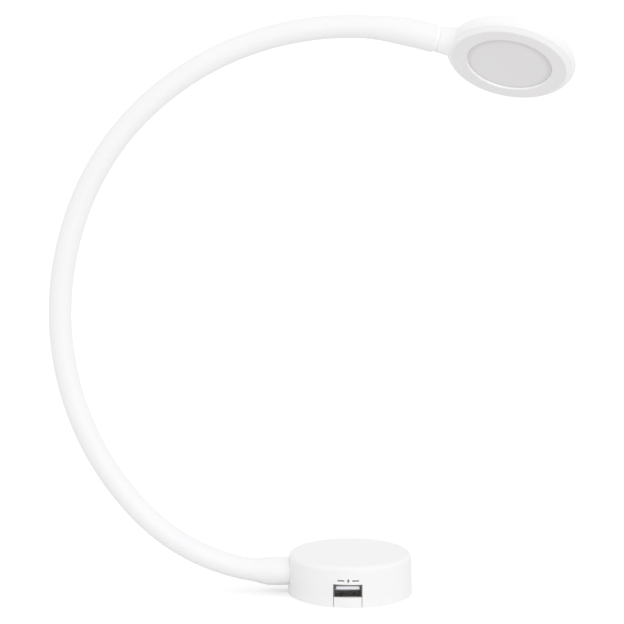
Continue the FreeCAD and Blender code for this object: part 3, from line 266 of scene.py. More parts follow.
@dataclass(frozen=True)
class Finish:
    """A surface: its two tones, gloss, metal, coat and grain.

    Scales are counts per metre, and the grain's height is in metres.
    """

    name: str
    light: Colour
    dark: Colour
    roughness: tuple[float, float] = (0.4, 0.5)
    metallic: float = 0.0
    specular: float = 0.5
    coat: float = 0.0
    grain_scale: float = GRAIN_SCALE
    cloud_scale: float = CLOUD_SCALE
    grain_height: float = 0.00002
    grain_strength: float = 0.2
    tone_range: tuple[float, float] = (0.3, 0.7)
    streaks: tuple[float, float] | None = None
    attribute: str | None = None

    def material(self) -> bpy.types.Material:
        """The finish's material, made the first time that it is asked for."""
        return bpy.data.materials.get(self.name) or self.build()

    def coordinates(self, tree: bpy.types.NodeTree) -> Socket:
        """Where the patterns are read: Object coordinates, or the piece's own attribute.

        Args:
            tree: the material's node tree.

        Returns:
            The vector socket.
        """
        if self.attribute:
            node = tree.nodes.new("ShaderNodeAttribute")
            node.attribute_name = self.attribute
            return node.outputs["Vector"]
        return tree.nodes.new("ShaderNodeTexCoord").outputs["Object"]

    def colour(
        self,
        tree: bpy.types.NodeTree,
        place: Socket,
        tone: Socket,
    ) -> Socket:
        """The colour over the surface: from dark to light with the tone.

        Args:
            tree: the material's node tree.
            place: the vector socket of the pattern's coordinates; not used here.
            tone: a value from 0 to 1.

        Returns:
            The colour socket.
        """
        ramp = tree.nodes.new("ShaderNodeValToRGB")
        for index, shade in enumerate((self.dark, self.light)):
            ramp.color_ramp.elements[index].position = self.tone_range[index]
            ramp.color_ramp.elements[index].color = (*shade, 1.0)
        tree.links.new(tone, ramp.inputs["Fac"])
        return ramp.outputs["Color"]

    def laid_over(
        self,
        tree: bpy.types.NodeTree,
        under: Socket,
        mask: Socket,
        top: Colour,
    ) -> Socket:
        """Lays one colour over another, as far as a mask lets it.

        Args:
            tree: the material's node tree.
            under: the colour socket below.
            mask: a value from 0, where nothing covers it, to 1.
            top: the colour on top.

        Returns:
            The colour socket.
        """
        mix = tree.nodes.new("ShaderNodeMix")
        mix.data_type = "RGBA"
        tree.links.new(mask, mix.inputs["Factor"])
        tree.links.new(under, mix.inputs["A"])
        mix.inputs["B"].default_value = (*top, 1.0)
        return mix.outputs["Result"]

    def build(self) -> bpy.types.Material:
        """Builds the nodes.

        Returns:
            The material.
        """
        material = bpy.data.materials.new(self.name)
        material.use_nodes = True
        tree = material.node_tree
        shader = next(n for n in tree.nodes if n.type == "BSDF_PRINCIPLED")
        place = self.coordinates(tree)
        grain = EFFECTS.place(tree, Effect.GRAIN)
        tree.links.new(place, grain.inputs["Vector"])
        grain.inputs["Grain Scale"].default_value = self.grain_scale
        grain.inputs["Cloud Scale"].default_value = self.cloud_scale
        height, gloss = grain.outputs["Height"], grain.outputs["Gloss"]
        if self.streaks:
            lines = EFFECTS.place(tree, Effect.STREAKS)
            tree.links.new(place, lines.inputs["Vector"])
            lines.inputs["Along"].default_value, lines.inputs["Across"].default_value = self.streaks
            height, gloss = lines.outputs["Height"], lines.outputs["Gloss"]
        colour = self.colour(tree, place, grain.outputs["Tone"])
        tree.links.new(colour, shader.inputs["Base Color"])
        rough = tree.nodes.new("ShaderNodeMapRange")
        rough.inputs["To Min"].default_value, rough.inputs["To Max"].default_value = self.roughness
        tree.links.new(gloss, rough.inputs["Value"])
        tree.links.new(rough.outputs["Result"], shader.inputs["Roughness"])
        bump = tree.nodes.new("ShaderNodeBump")
        bump.inputs["Strength"].default_value = self.grain_strength
        bump.inputs["Distance"].default_value = self.grain_height
        tree.links.new(height, bump.inputs["Height"])
        tree.links.new(bump.outputs["Normal"], shader.inputs["Normal"])
        shader.inputs["Metallic"].default_value = self.metallic
        shader.inputs["Specular IOR Level"].default_value = self.specular
        shader.inputs["Coat Weight"].default_value = self.coat
        return material

    def dress(self, piece: bpy.types.Object) -> None:
        """Puts the finish on a piece, in place of what it had."""
        piece.data.materials.clear()
        piece.data.materials.append(self.material())

    def cover(self, node: bpy.types.Object) -> None:
        """Puts the finish in each material slot of a CAD node.

        Args:
            node: the CAD node's object.
        """
        if not node.material_slots:
            node.data.materials.append(self.material())
        for slot in node.material_slots:
            slot.material = self.material()


@dataclass(frozen=True)
class CircuitBoard(Finish):
    """Solder mask over copper, with lighter tracks in a grid."""

    track: Colour = (0.03, 0.26, 0.12)
    track_scale: float = 260.0
    track_width: float = 0.05

    def colour(
        self,
        tree: bpy.types.NodeTree,
        place: Socket,
        tone: Socket,
    ) -> Socket:
        """The mask's green with tracks that show through it.

        Args:
            tree: the material's node tree.
            place: the vector socket of the pattern's coordinates.
            tone: a value from 0 to 1.

        Returns:
            The colour socket.
        """
        mask = super().colour(tree, place, tone)
        tracks = tree.nodes.new("ShaderNodeTexBrick")
        tracks.inputs["Scale"].default_value = self.track_scale
        tracks.inputs["Mortar Size"].default_value = self.track_width
        tracks.inputs["Color1"].default_value = BLACK
        tracks.inputs["Color2"].default_value = BLACK
        tracks.inputs["Mortar"].default_value = WHITE
        tree.links.new(place, tracks.inputs["Vector"])
        return self.laid_over(tree, mask, tracks.outputs["Color"], self.track)


@dataclass(frozen=True)
class MouldedShell(Finish):
    """White moulded plastic with edges that handling has polished lighter."""

    worn: Colour = (0.95, 0.95, 0.95)

    def colour(
        self,
        tree: bpy.types.NodeTree,
        place: Socket,
        tone: Socket,
    ) -> Socket:
        """The plastic's white, lighter on the handled edges.

        Args:
            tree: the material's node tree.
            place: the vector socket of the pattern's coordinates.
            tone: a value from 0 to 1.

        Returns:
            The colour socket.
        """
        plain = super().colour(tree, place, tone)
        geometry = tree.nodes.new("ShaderNodeNewGeometry")
        wear = EFFECTS.place(tree, Effect.EDGE_WEAR)
        tree.links.new(place, wear.inputs["Vector"])
        tree.links.new(geometry.outputs["Pointiness"], wear.inputs["Pointiness"])
        return self.laid_over(tree, plain, wear.outputs["Mask"], self.worn)


@dataclass(frozen=True)
class OpalLens(Finish):
    """Opal plastic with painted shade towards its rim, in place of the shade that the front ring's
    recess casts there.

    The lens's middle and the two radii are in metres.
    """

    # Painted shade: the colour laid over the lens towards its rim, where the ring's recess shades
    # it.
    painted_rim_shade: Colour = (0.7, 0.685, 0.69)
    centre: tuple[float, float, float] = (0.07438, 0.0, 0.25596)
    clear_radius: float = 0.0165
    rim_radius: float = 0.0204

    def colour(
        self,
        tree: bpy.types.NodeTree,
        place: Socket,
        tone: Socket,
    ) -> Socket:
        """The opal white, shaded by how near the lens's rim a point lies.

        Args:
            tree: the material's node tree.
            place: the vector socket of the pattern's coordinates.
            tone: a value from 0 to 1.

        Returns:
            The opal white, with painted shade that deepens the nearer the lens's rim a point lies.
        """
        plain = super().colour(tree, place, tone)
        reach = tree.nodes.new("ShaderNodeVectorMath")
        reach.operation = "DISTANCE"
        reach.inputs[1].default_value = self.centre
        tree.links.new(place, reach.inputs[0])
        rim_shade_share = tree.nodes.new("ShaderNodeMapRange")
        rim_shade_share.interpolation_type = "SMOOTHSTEP"
        rim_shade_share.inputs["From Min"].default_value = self.clear_radius
        rim_shade_share.inputs["From Max"].default_value = self.rim_radius
        tree.links.new(reach.outputs["Value"], rim_shade_share.inputs["Value"])
        return self.laid_over(tree, plain, rim_shade_share.outputs["Result"], self.painted_rim_shade)


BASE_WHITE = MouldedShell(
    "base_white_satin", (0.91, 0.9, 0.905), (0.895, 0.885, 0.89),
    roughness=(0.5, 0.6), grain_scale=3500.0, grain_strength=0.16,
)
# Painted light: the head's white plastic lightened for the light on its back and top; the ring's
# skirt takes it too, beside the ring's darkened face.
HEAD_WHITE_PAINTED_LIGHT = MouldedShell(
    "head_white_painted_light", (0.95, 0.94, 0.945), (0.935, 0.925, 0.93),
    roughness=(0.45, 0.55), grain_scale=3500.0, grain_strength=0.12,
)
# Painted shade: the ring's white plastic darkened where its face looks down, in place of the shade
# that falls on it.
BEZEL_WHITE_PAINTED_SHADE = MouldedShell(
    "bezel_white_painted_shade", (0.86, 0.845, 0.85), (0.845, 0.83, 0.835),
    roughness=(0.45, 0.55), grain_scale=3500.0, grain_strength=0.12,
)
# Painted highlight: the ring's inner wall coloured near white, brighter than the ring's plastic,
# for the light it catches; the low roughness and coat make it glossy.
BEZEL_WALL_HIGHLIGHT = Finish(
    "bezel_inner_wall_painted_highlight", (0.98, 0.975, 0.98), (0.97, 0.965, 0.97),
    roughness=(0.14, 0.2), coat=0.5, grain_scale=3500.0, grain_strength=0.03,
)
PLATE_WHITE = Finish(
    "plate_white_matt", (0.92, 0.91, 0.915), (0.90, 0.89, 0.895),
    roughness=(0.5, 0.62), grain_scale=2500.0, grain_strength=0.3,
)
OPAL = OpalLens(
    "diffuser_opal", (0.81, 0.795, 0.80), (0.795, 0.78, 0.785),
    roughness=(0.55, 0.65), grain_scale=5000.0, cloud_scale=45.0, grain_strength=0.1,
)
REFLECTOR_WHITE = Finish(
    "reflector_white_gloss", (0.88, 0.88, 0.88), (0.85, 0.85, 0.85),
    roughness=(0.12, 0.2), grain_strength=0.05,
)
SILICONE = Finish(
    "sleeve_silicone_matt", (0.905, 0.905, 0.915), (0.89, 0.89, 0.90),
    roughness=(0.42, 0.55), grain_scale=3000.0, cloud_scale=25.0, grain_strength=0.12,
    attribute="unbent",
)
TUBE_STEEL = Finish(
    "gooseneck_zinc", (0.6, 0.6, 0.62), (0.5, 0.5, 0.53),
    roughness=(0.25, 0.45), metallic=1.0, streaks=(600.0, 600.0), grain_strength=0.3,
)
WIRE_WHITE = Finish(
    "wire_white_pvc", (0.78, 0.78, 0.77), (0.72, 0.72, 0.71),
    roughness=(0.35, 0.45), grain_strength=0.1,
)
MARK_INK = Finish(
    "mark_grey_ink", (0.16, 0.16, 0.17), (0.12, 0.12, 0.13),
    roughness=(0.45, 0.6), grain_scale=6000.0, grain_strength=0.1,
)
# Painted shade: the socket's nickel shell has a dark base colour, far below plated nickel's, in
# place of the shade inside the socket; the drawn streaks are the metal's own.
PORT_NICKEL_PAINTED_SHADE = Finish(
    "port_nickel_drawn_painted_shade", (0.3, 0.29, 0.27), (0.2, 0.19, 0.17),
    roughness=(0.22, 0.42), metallic=1.0, streaks=(3500.0, 120.0), grain_strength=0.25,
)
TONGUE_WHITE = Finish(
    "tongue_nylon", (0.93, 0.93, 0.98), (0.9, 0.9, 0.95),
    roughness=(0.45, 0.55), grain_strength=0.15,
)
GOLD = Finish(
    "contact_gold_plate", (0.85, 0.62, 0.28), (0.75, 0.52, 0.22),
    roughness=(0.15, 0.3), metallic=1.0, streaks=(3500.0, 120.0), grain_strength=0.15,
)
RUBBER = Finish(
    "grommet_rubber", (0.03, 0.03, 0.03), (0.02, 0.02, 0.02),
    roughness=(0.55, 0.75), grain_scale=2500.0, grain_strength=0.4,
)
BOARD = CircuitBoard(
    "board_solder_mask", (0.02, 0.19, 0.08), (0.015, 0.15, 0.06),
    roughness=(0.25, 0.35), coat=0.3, grain_strength=0.1,
)
SCREW_ZINC = Finish(
    "screw_zinc", (0.58, 0.58, 0.6), (0.45, 0.45, 0.48),
    roughness=(0.25, 0.45), metallic=1.0, grain_scale=2500.0, grain_strength=0.2,
)
COMPONENT_BLACK = Finish(
    "component_epoxy", (0.045, 0.045, 0.05), (0.03, 0.03, 0.033),
    roughness=(0.5, 0.65), grain_scale=5000.0, grain_strength=0.4,
)
ALUMINIUM = Finish(
    "plain_aluminium", (0.78, 0.78, 0.79), (0.68, 0.68, 0.7),
    roughness=(0.22, 0.4), metallic=1.0, streaks=(3500.0, 200.0), grain_strength=0.15,
)
TERMINAL_GREEN = Finish(
    "terminal_polyamide", (0.04, 0.36, 0.14), (0.03, 0.3, 0.11),
    roughness=(0.4, 0.52), grain_scale=4000.0, grain_strength=0.2,
)
SPRING_BRONZE = Finish(
    "spring_bronze", (0.75, 0.52, 0.32), (0.65, 0.42, 0.25),
    roughness=(0.2, 0.35), metallic=1.0, streaks=(200.0, 3500.0), grain_strength=0.15,
)
FITTING_NICKEL = Finish(
    "fitting_nickel", (0.72, 0.69, 0.63), (0.6, 0.57, 0.52),
    roughness=(0.2, 0.35), metallic=1.0, streaks=(3500.0, 300.0), grain_strength=0.2,
)
PHOSPHOR = Finish(
    "led_phosphor_gel", (0.9, 0.78, 0.3), (0.85, 0.68, 0.2),
    roughness=(0.2, 0.3), coat=0.4, grain_scale=6000.0, grain_strength=0.2,
)


# Gooseneck


@dataclass(frozen=True)
class Spot:
    """A place on the gooseneck's line: its point in metres, its heading in radians above +X."""

    point: Vector
    heading: float


@dataclass
class NeckLine:
    """The gooseneck's line from the base's seat to the head's seam, in millimetres and degrees."""

    seat_x: float = -28.437
    height: float = 10.15
    stub: float = 9.5
    root_arc: float = 16.0
    root_turn: float = 13.4
    link: float = 54.5
    link_turns: tuple[float, ...] = (32.8, 22.6, 22.3, 21.4, 24.2, 22.6, 21.7)
    head_arc: float = 32.5
    head_turn: float = 13.5
    head_stub: float = 5.1

    def stretches(self) -> list[tuple[float, float]]:
        """The straights and arcs that make up the line.

        Returns:
            Length and turn of each, in order from the seat.
        """
        links = [(self.link, turn) for turn in self.link_turns]
        head = [(self.head_arc, self.head_turn), (self.head_stub, 0.0)]
        return [(self.stub, 0.0), (self.root_arc, self.root_turn), *links, *head]

    def total(self) -> float:
        """The line's whole length."""
        return sum(length for length, _ in self.stretches())

    def joint(self, number: int) -> float:
        """Length from the seat to a joint, the first being number 0."""
        return self.stub + self.root_arc + self.link * number

    def at(self, length: float) -> Spot:
        """Where the line is at a length from the seat.

        Args:
            length: millimetres along the line.

        Returns:
            The place.
        """
        x, z, heading, left = self.seat_x, self.height, math.pi, length
        for span, turn in self.stretches():
            step = min(max(left, 0.0), span)
            bend = math.radians(turn) * step / span
            if turn:
                radius = span / math.radians(turn)
                x += radius * (math.sin(heading) - math.sin(heading - bend))
                z -= radius * (math.cos(heading) - math.cos(heading - bend))
            else:
                x += step * math.cos(heading)
                z += step * math.sin(heading)
            heading -= bend
            left -= span
        return Spot(Vector((x, 0.0, z)) * MM, heading)


@dataclass
class Sleeve:
    """The white sleeve over the gooseneck, in lengths that each span one joint.

    Sizes are in millimetres. The rounding gives the lip's corners as shares of the lip, first
    along the sleeve and then inwards.
    """

    line: NeckLine = field(default_factory=NeckLine)
    radius: float = 5.4
    bore: float = 3.7
    base_flare: float = 6.8
    base_flare_length: float = 10.0
    base_taper: float = 10.0
    head_flare: float = 6.6
    head_flare_length: float = 10.0
    head_taper: float = 26.0
    collar_bore: float = 4.9
    collar_length: float = 9.2
    flange_bore: float = 5.8
    flange_length: float = 1.3
    lip: float = 0.35
    rounding: tuple[tuple[float, float], ...] = ((0.0, 1.0), (0.13, 0.5), (0.5, 0.13))
    sides: int = 64
    step: float = 2.2
    smooth_angle: float = 35.0

    def outer_radius(self, length: float) -> float:
        """The sleeve's radius at a length from the seat, eased through each flare.

        Args:
            length: millimetres along the line.

        Returns:
            The radius in millimetres.
        """
        total = self.line.total()
        from_base = (length - self.base_flare_length) / self.base_taper
        from_head = (total - self.head_flare_length - length) / self.head_taper
        grown = self.radius
        for share, flare in ((from_base, self.base_flare), (from_head, self.head_flare)):
            eased = (1 + math.cos(math.pi * min(max(share, 0.0), 1.0))) / 2
            grown += (flare - self.radius) * eased
        return grown

    def marks(self, start: float, end: float) -> list[float]:
        """Even marks from start to end, no further apart than the step."""
        count = math.ceil((end - start) / self.step)
        return [start + (end - start) * i / count for i in range(count + 1)]

    def outside(self, start: float, end: float) -> list[tuple[float, float]]:
        """The outer profile of one length, with a rounded lip at each end of the sleeve.

        Args:
            start: where the length begins, in millimetres from the seat.
            end: where it ends.

        Returns:
            Lengths and radii, in order.
        """
        total, lip = self.line.total(), self.lip
        rounding = [(along * lip, inwards * lip) for along, inwards in self.rounding]
        profile = []
        if start == 0.0:
            profile += [(along, self.outer_radius(along) - inwards) for along, inwards in rounding]
        first = start + (lip if start == 0.0 else 0.0)
        last = end - (lip if end == total else 0.0)
        profile += [(mark, self.outer_radius(mark)) for mark in self.marks(first, last)]
        if end == total:
            full = self.outer_radius(total)
            profile += [(total - along, full - inwards) for along, inwards in rounding[::-1]]
        return profile

    def inside(self, start: float, end: float) -> list[tuple[float, float]]:
        """The bore's profile of one length, from its end back to its start.

        Args:
            start: where the length begins, in millimetres from the seat.
            end: where it ends.

        Returns:
            Lengths and radii, in order.
        """
        total = self.line.total()
        profile = []
        low, high = start, end
        if end == total:
            high = total - self.collar_length
            profile += [(total, self.collar_bore), (high, self.collar_bore)]
        if start == 0.0:
            low = self.collar_length
        profile += [(mark, self.bore) for mark in self.marks(low, high)[::-1]]
        if start == 0.0:
            profile += [
                (self.collar_length, self.collar_bore),
                (self.flange_length, self.collar_bore),
                (self.flange_length, self.flange_bore),
                (0.0, self.flange_bore),
            ]
        return profile

    def length_piece(self, name: str, start: float, end: float) -> bpy.types.Object:
        """Models one length as a ring drawn out along the line, back through the bore, and closed.

        Args:
            name: the piece's name.
            start: where the length begins, in millimetres from the seat.
            end: where it ends.

        Returns:
            The piece, with its place in its mesh.
        """
        profile = self.outside(start, end) + self.inside(start, end)
        spot, (_, radius) = self.line.at(start), profile[0]
        clear_selection()
        bpy.ops.mesh.primitive_circle_add(
            vertices=self.sides,
            radius=radius * MM,
            location=spot.point,
            rotation=(0.0, math.pi / 2 - spot.heading, 0.0),
        )
        piece = bpy.context.object
        piece.name = piece.data.name = name
        bpy.ops.object.mode_set(mode="EDIT")
        bpy.ops.mesh.select_all(action="SELECT")
        for along, wider in [*profile[1:], profile[0]]:
            reached = self.line.at(along)
            bpy.ops.mesh.extrude_edges_move(
                TRANSFORM_OT_translate={"value": reached.point - spot.point}
            )
            if reached.heading != spot.heading:
                bpy.ops.transform.rotate(
                    value=reached.heading - spot.heading,
                    orient_axis="Y",
                    center_override=reached.point,
                )
            if wider != radius:
                bpy.ops.transform.resize(
                    value=(wider / radius,) * 3, center_override=reached.point
                )
            spot, radius = reached, wider
        bpy.ops.object.mode_set(mode="OBJECT")
        self.mark_unbent(piece, profile)
        bpy.ops.object.mode_set(mode="EDIT")
        close_up()
        settle(piece, self.smooth_angle)
        return piece

    def mark_unbent(self, piece: bpy.types.Object, profile: list[tuple[float, float]]) -> None:
        """Keeps where each corner would be on a straight sleeve, so that the grain bends with it.

        Args:
            piece: the drawn piece, with its rings in order.
            profile: the lengths and radii of its rings.
        """
        rings = [*profile, profile[0]]
        straight = piece.data.attributes.new("unbent", "FLOAT_VECTOR", "POINT")
        for corner in range(len(piece.data.vertices)):
            along, radius = rings[corner // self.sides]
            turn = 2 * math.pi * (corner % self.sides) / self.sides
            straight.data[corner].vector = (
                radius * math.cos(turn) * MM,
                radius * math.sin(turn) * MM,
                along * MM,
            )

    def build(self, joints: list[dict]) -> None:
        """Builds every length, from the middle of one run to the middle of the next.

        Args:
            joints: the frame's joints, in order from the base.
        """
        line, last, ease = self.line, len(joints) - 1, self.step
        covered = {"base": "sleeve_base", "head": "sleeve_head"}
        for number, joint in enumerate(joints):
            start = line.joint(number) - line.link / 2 if number else 0.0
            end = line.joint(number) + line.link / 2 if number < last else line.total()
            piece = self.length_piece(f"sleeve_length_{number + 1}", start, end)
            SILICONE.dress(piece)
            bend_start = start + ease if number else line.stub
            bend_end = end - ease if number < last else end - self.collar_length - ease
            names = [
                covered.get(body, body.replace("link", "sleeve"))
                for body in (joint["parent"], joint["child"])
            ]
            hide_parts(*names)
            line.at(bend_start).point
            line.at(bend_end).point
            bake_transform(piece)
            LOG.info("%s bends across %s", piece.name, joint["name"])


# Base and head


@dataclass
class ChargeMark:
    """A small printed bolt between two short bars, over the charging socket.

    Sizes are in millimetres. The bolt's corners are shares of its height, across and up, and the
    base's wall leans in by wall_lean over wall_height.
    """

    middle_x: float = -1.3
    middle_z: float = 13.0
    wall_foot: float = 30.0
    wall_lean: float = 0.35
    wall_height: float = 17.3
    bolt_corners: tuple[tuple[float, float], ...] = (
        (0.12, 0.5), (-0.34, -0.1), (-0.05, -0.1), (-0.12, -0.5), (0.34, 0.1), (0.05, 0.1),
    )
    bolt_height: float = 2.5
    bar_length: float = 3.2
    bar_height: float = 0.6
    bar_middle: float = 3.5
    bar_parts: int = 8
    ink: float = 0.04

    def bolt(self) -> bpy.types.Object:
        """Cuts the bolt's outline out of a six-cornered sheet.

        Returns:
            The bolt, as a flat sheet.
        """
        clear_selection()
        bpy.ops.mesh.primitive_circle_add(vertices=len(self.bolt_corners), fill_type="NGON")
        sheet = bpy.context.object
        for corner, (across, up) in zip(sheet.data.vertices, self.bolt_corners):
            corner.co = Vector((across, 0.0, up)) * self.bolt_height * MM
        sheet.data.update()
        return sheet

    def bar(self, side: int) -> bpy.types.Object:
        """Lays one bar beside the bolt.

        Args:
            side: −1 for the left bar and 1 for the right one.

        Returns:
            The bar, as a flat strip of even parts.
        """
        clear_selection()
        bpy.ops.mesh.primitive_grid_add(
            x_subdivisions=self.bar_parts,
            y_subdivisions=1,
            size=MM,
            location=(side * self.bar_middle * MM, 0.0, 0.0),
            rotation=(math.pi / 2, 0.0, 0.0),
        )
        strip = bpy.context.object
        strip.scale = (self.bar_length, self.bar_height, 1.0)
        bpy.ops.object.transform_apply(location=True, rotation=True, scale=True)
        return strip

    def build(self) -> None:
        """Joins bolt and bars, wraps them round the base's side and gives the ink its thickness."""
        sheets = [self.bolt(), self.bar(-1), self.bar(1)]
        clear_selection()
        for sheet in sheets:
            sheet.select_set(True)
        bpy.context.view_layer.objects.active = sheets[0]
        bpy.ops.object.join()
        mark = bpy.context.object
        mark.name = mark.data.name = "charge_mark"
        for corner in mark.data.vertices:
            x = corner.co.x + self.middle_x * MM
            z = corner.co.z + self.middle_z * MM
            wall = self.wall_foot * MM - self.wall_lean / self.wall_height * z
            corner.co = (x, -math.sqrt(wall**2 - x**2), z)
        bpy.ops.object.mode_set(mode="EDIT")
        bpy.ops.mesh.select_all(action="SELECT")
        bpy.ops.mesh.normals_make_consistent(inside=False)
        bpy.ops.object.mode_set(mode="OBJECT")
        if mark.data.polygons[0].normal.y > 0:
            mark.data.flip_normals()
        skin = mark.modifiers.new("ink", "SOLIDIFY")
        skin.thickness = self.ink * MM
        skin.offset = 1.0
        bpy.ops.object.modifier_apply(modifier=skin.name)
        settle(mark)
        MARK_INK.dress(mark)
        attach(mark, "base")
        LOG.info("%s: %s", mark.name, MARK_INK.name)


@dataclass
class Unit:
    """A unit of the lamp: its CAD nodes, each with its finish."""

    finishes: dict[str, Finish]

    def dress(self, nodes: dict[str, bpy.types.Object]) -> None:
        """Puts the unit's finishes on its nodes.

        Args:
            nodes: the frame's objects by node name.
        """
        for name, finish in self.finishes.items():
            finish.cover(nodes[name])
            LOG.info("%s: %s", name, finish.name)


@dataclass
class Base(Unit):
    """The round base: its shell, plate, charging socket and what is inside."""

    finishes: dict[str, Finish] = field(
        default_factory=lambda: {
            "base_housing": BASE_WHITE,
            "base_plate": PLATE_WHITE,
            "cable_grommet": RUBBER,
            "usb_shell": PORT_NICKEL_PAINTED_SHADE,
            "usb_insulator": TONGUE_WHITE,
            "usb_contacts": GOLD,
            "charger_board": BOARD,
            "board_screws": SCREW_ZINC,
            "buck_inductor": COMPONENT_BLACK,
            "output_capacitors": ALUMINIUM,
            "regulator_chips": COMPONENT_BLACK,
            "supply_terminal": TERMINAL_GREEN,
            "terminal_screws": SCREW_ZINC,
            "touch_leaf": SPRING_BRONZE,
            "base_ferrule": FITTING_NICKEL,
            "ferrule_nut": FITTING_NICKEL,
            "lamp_leads": WIRE_WHITE,
        }
    )


@dataclass
class FrontRing:
    """The ring round the diffuser, turned about the head's axis.

    Sizes are in millimetres and the roll in degrees. Places are measured along the head's axis
    from its middle, and are negative towards the light side.
    """

    reach: float = 37.0
    roll: float = -35.0
    lens_radius: float = 20.1
    lens_seat: float = -3.0
    face: float = -4.0
    wall_foot: float = 0.12
    wall_slope: float = 0.35
    brow: float = 0.12
    edge_radius: float = 27.3
    edge: float = 0.5
    skirt_radius: float = 29.3
    skirt_end: float = -2.43
    skirt_lip: float = 0.12
    fit_radius: float = 27.87
    fit_end: float = -1.6
    inner_radius: float = 27.65
    bead_at: float = -0.4
    bead_width: float = 0.9
    bead_height: float = 0.5
    rim_end: float = 0.8
    rim_wall: float = 1.2
    back: float = -1.0
    pocket_radius: float = 21.9
    relief_start: float = -30.0
    relief_end: float = -23.1
    relief_low: float = -1.8
    relief_high: float = 4.8
    relief_half_width: float = 5.1
    sides: int = 144
    edge_parts: int = 8

    def centre(self, line: NeckLine) -> Vector:
        """Where the ring is turned.

        Args:
            line: the gooseneck's line, which the head ends.

        Returns:
            The head's middle, ahead of the gooseneck's end.
        """
        end = line.at(line.total())
        ahead = Vector((math.cos(end.heading), 0.0, math.sin(end.heading)))
        return end.point + ahead * self.reach * MM

    def turn(self, line: NeckLine) -> Euler:
        """The head's turn: down with the gooseneck's end, then rolled towards the viewer."""
        return Euler((math.radians(self.roll), -line.at(line.total()).heading, 0.0))

    def profile(self) -> list[tuple[float, float]]:
        """The ring's section, round which it is turned.

        Returns:
            Places along the axis and radii, in order from the lens seat round to it again.
        """
        mouth = self.lens_radius + self.wall_slope
        angles = [math.pi / 2 * i / self.edge_parts for i in range(self.edge_parts, 1, -1)]
        rounding = [
            (
                self.face + self.edge * (1 - math.sin(angle)),
                self.edge_radius - self.edge * (1 - math.cos(angle)),
            )
            for angle in angles
        ]
        inner = self.fit_radius - self.inner_radius
        half = self.bead_width / 2
        return [
            (self.lens_seat, self.lens_radius),
            (self.lens_seat - self.wall_foot, self.lens_radius),
            (self.face + self.brow, mouth),
            (self.face, mouth + self.brow),
            (self.face, mouth + 2 * self.edge),
            (self.face, self.edge_radius - 2 * self.edge),
            *rounding,
            (self.skirt_end - self.skirt_lip, self.skirt_radius),
            (self.skirt_end, self.skirt_radius),
            (self.skirt_end, self.fit_radius),
            (self.fit_end, self.fit_radius),
            (self.fit_end + inner, self.inner_radius),
            (self.bead_at - half, self.inner_radius),
            (self.bead_at, self.inner_radius + self.bead_height),
            (self.bead_at + half, self.inner_radius),
            (self.rim_end, self.inner_radius),
            (self.rim_end, self.inner_radius - self.rim_wall),
            (self.back, self.inner_radius - self.rim_wall),
            (self.back, self.pocket_radius),
            (self.lens_seat, self.pocket_radius),
        ]

    def turned(self, centre: Vector, turn: Euler) -> bpy.types.Object:
        """Draws the section's rings one after the other, from the lens seat round to it again.

        Args:
            centre: the head's middle, in metres.
            turn: the head's turn.

        Returns:
            The ring, closed.
        """
        axis = turn.to_matrix() @ Vector((0.0, 0.0, 1.0))
        profile = self.profile()
        along, radius = profile[0]
        clear_selection()
        bpy.ops.mesh.primitive_circle_add(
            vertices=self.sides,
            radius=radius * MM,
            location=centre + axis * along * MM,
            rotation=turn,
        )
        ring = bpy.context.object
        ring.name = ring.data.name = "front_ring"
        bpy.ops.object.mode_set(mode="EDIT")
        bpy.ops.mesh.select_all(action="SELECT")
        for reached, wider in [*profile[1:], profile[0]]:
            bpy.ops.mesh.extrude_edges_move(
                TRANSFORM_OT_translate={"value": axis * (reached - along) * MM}
            )
            if wider != radius:
                bpy.ops.transform.resize(
                    value=(wider / radius,) * 3, center_override=centre + axis * reached * MM
                )
            along, radius = reached, wider
        close_up()
        return ring

    def relieve(self, ring: bpy.types.Object, centre: Vector, turn: Euler) -> None:
        """Cuts the ring's rim away where the neck's shelf comes in.

        Args:
            ring: the turned ring.
            centre: the head's middle, in metres.
            turn: the head's turn.
        """
        low = Vector((self.relief_start, -self.relief_half_width, self.relief_low)) * MM
        high = Vector((self.relief_end, self.relief_half_width, self.relief_high)) * MM
        clear_selection()
        bpy.ops.mesh.primitive_cube_add(
            size=1.0,
            location=centre + turn.to_matrix() @ ((low + high) / 2),
            rotation=turn,
            scale=high - low,
        )
        block = bpy.context.object
        cut = ring.modifiers.new("relief", "BOOLEAN")
        cut.object = block
        cut.operation = "DIFFERENCE"
        clear_selection()
        bpy.context.view_layer.objects.active = ring
        bpy.ops.object.modifier_apply(modifier=cut.name)
        bpy.data.objects.remove(block, do_unlink=True)

    def paint_ring_light_and_shade(self, ring: bpy.types.Object, centre: Vector, turn: Euler) -> None:
        """Gives the face its painted shade, the inner wall a painted highlight and the skirt the
        head's lightened white.

        Args:
            ring: the finished ring, with its place in its mesh.
            centre: the head's middle, in metres.
            turn: the head's turn.
        """
        BEZEL_WHITE_PAINTED_SHADE.dress(ring)
        inner_wall, skirt = 1, 2
        # Painted light and shade: the inner wall takes a painted highlight, the skirt the head's
        # lightened white.
        for finish in (BEZEL_WALL_HIGHLIGHT, HEAD_WHITE_PAINTED_LIGHT):
            ring.data.materials.append(finish.material())
        home = turn.to_matrix().inverted()
        for face in ring.data.polygons:
            place = home @ (Vector(face.center) - centre) / MM
            radius = math.hypot(place.x, place.y)
            if radius < self.lens_radius + self.wall_slope and self.face < place.z < self.lens_seat:
                face.material_index = inner_wall
            elif radius > self.edge_radius and place.z < self.skirt_end:
                face.material_index = skirt

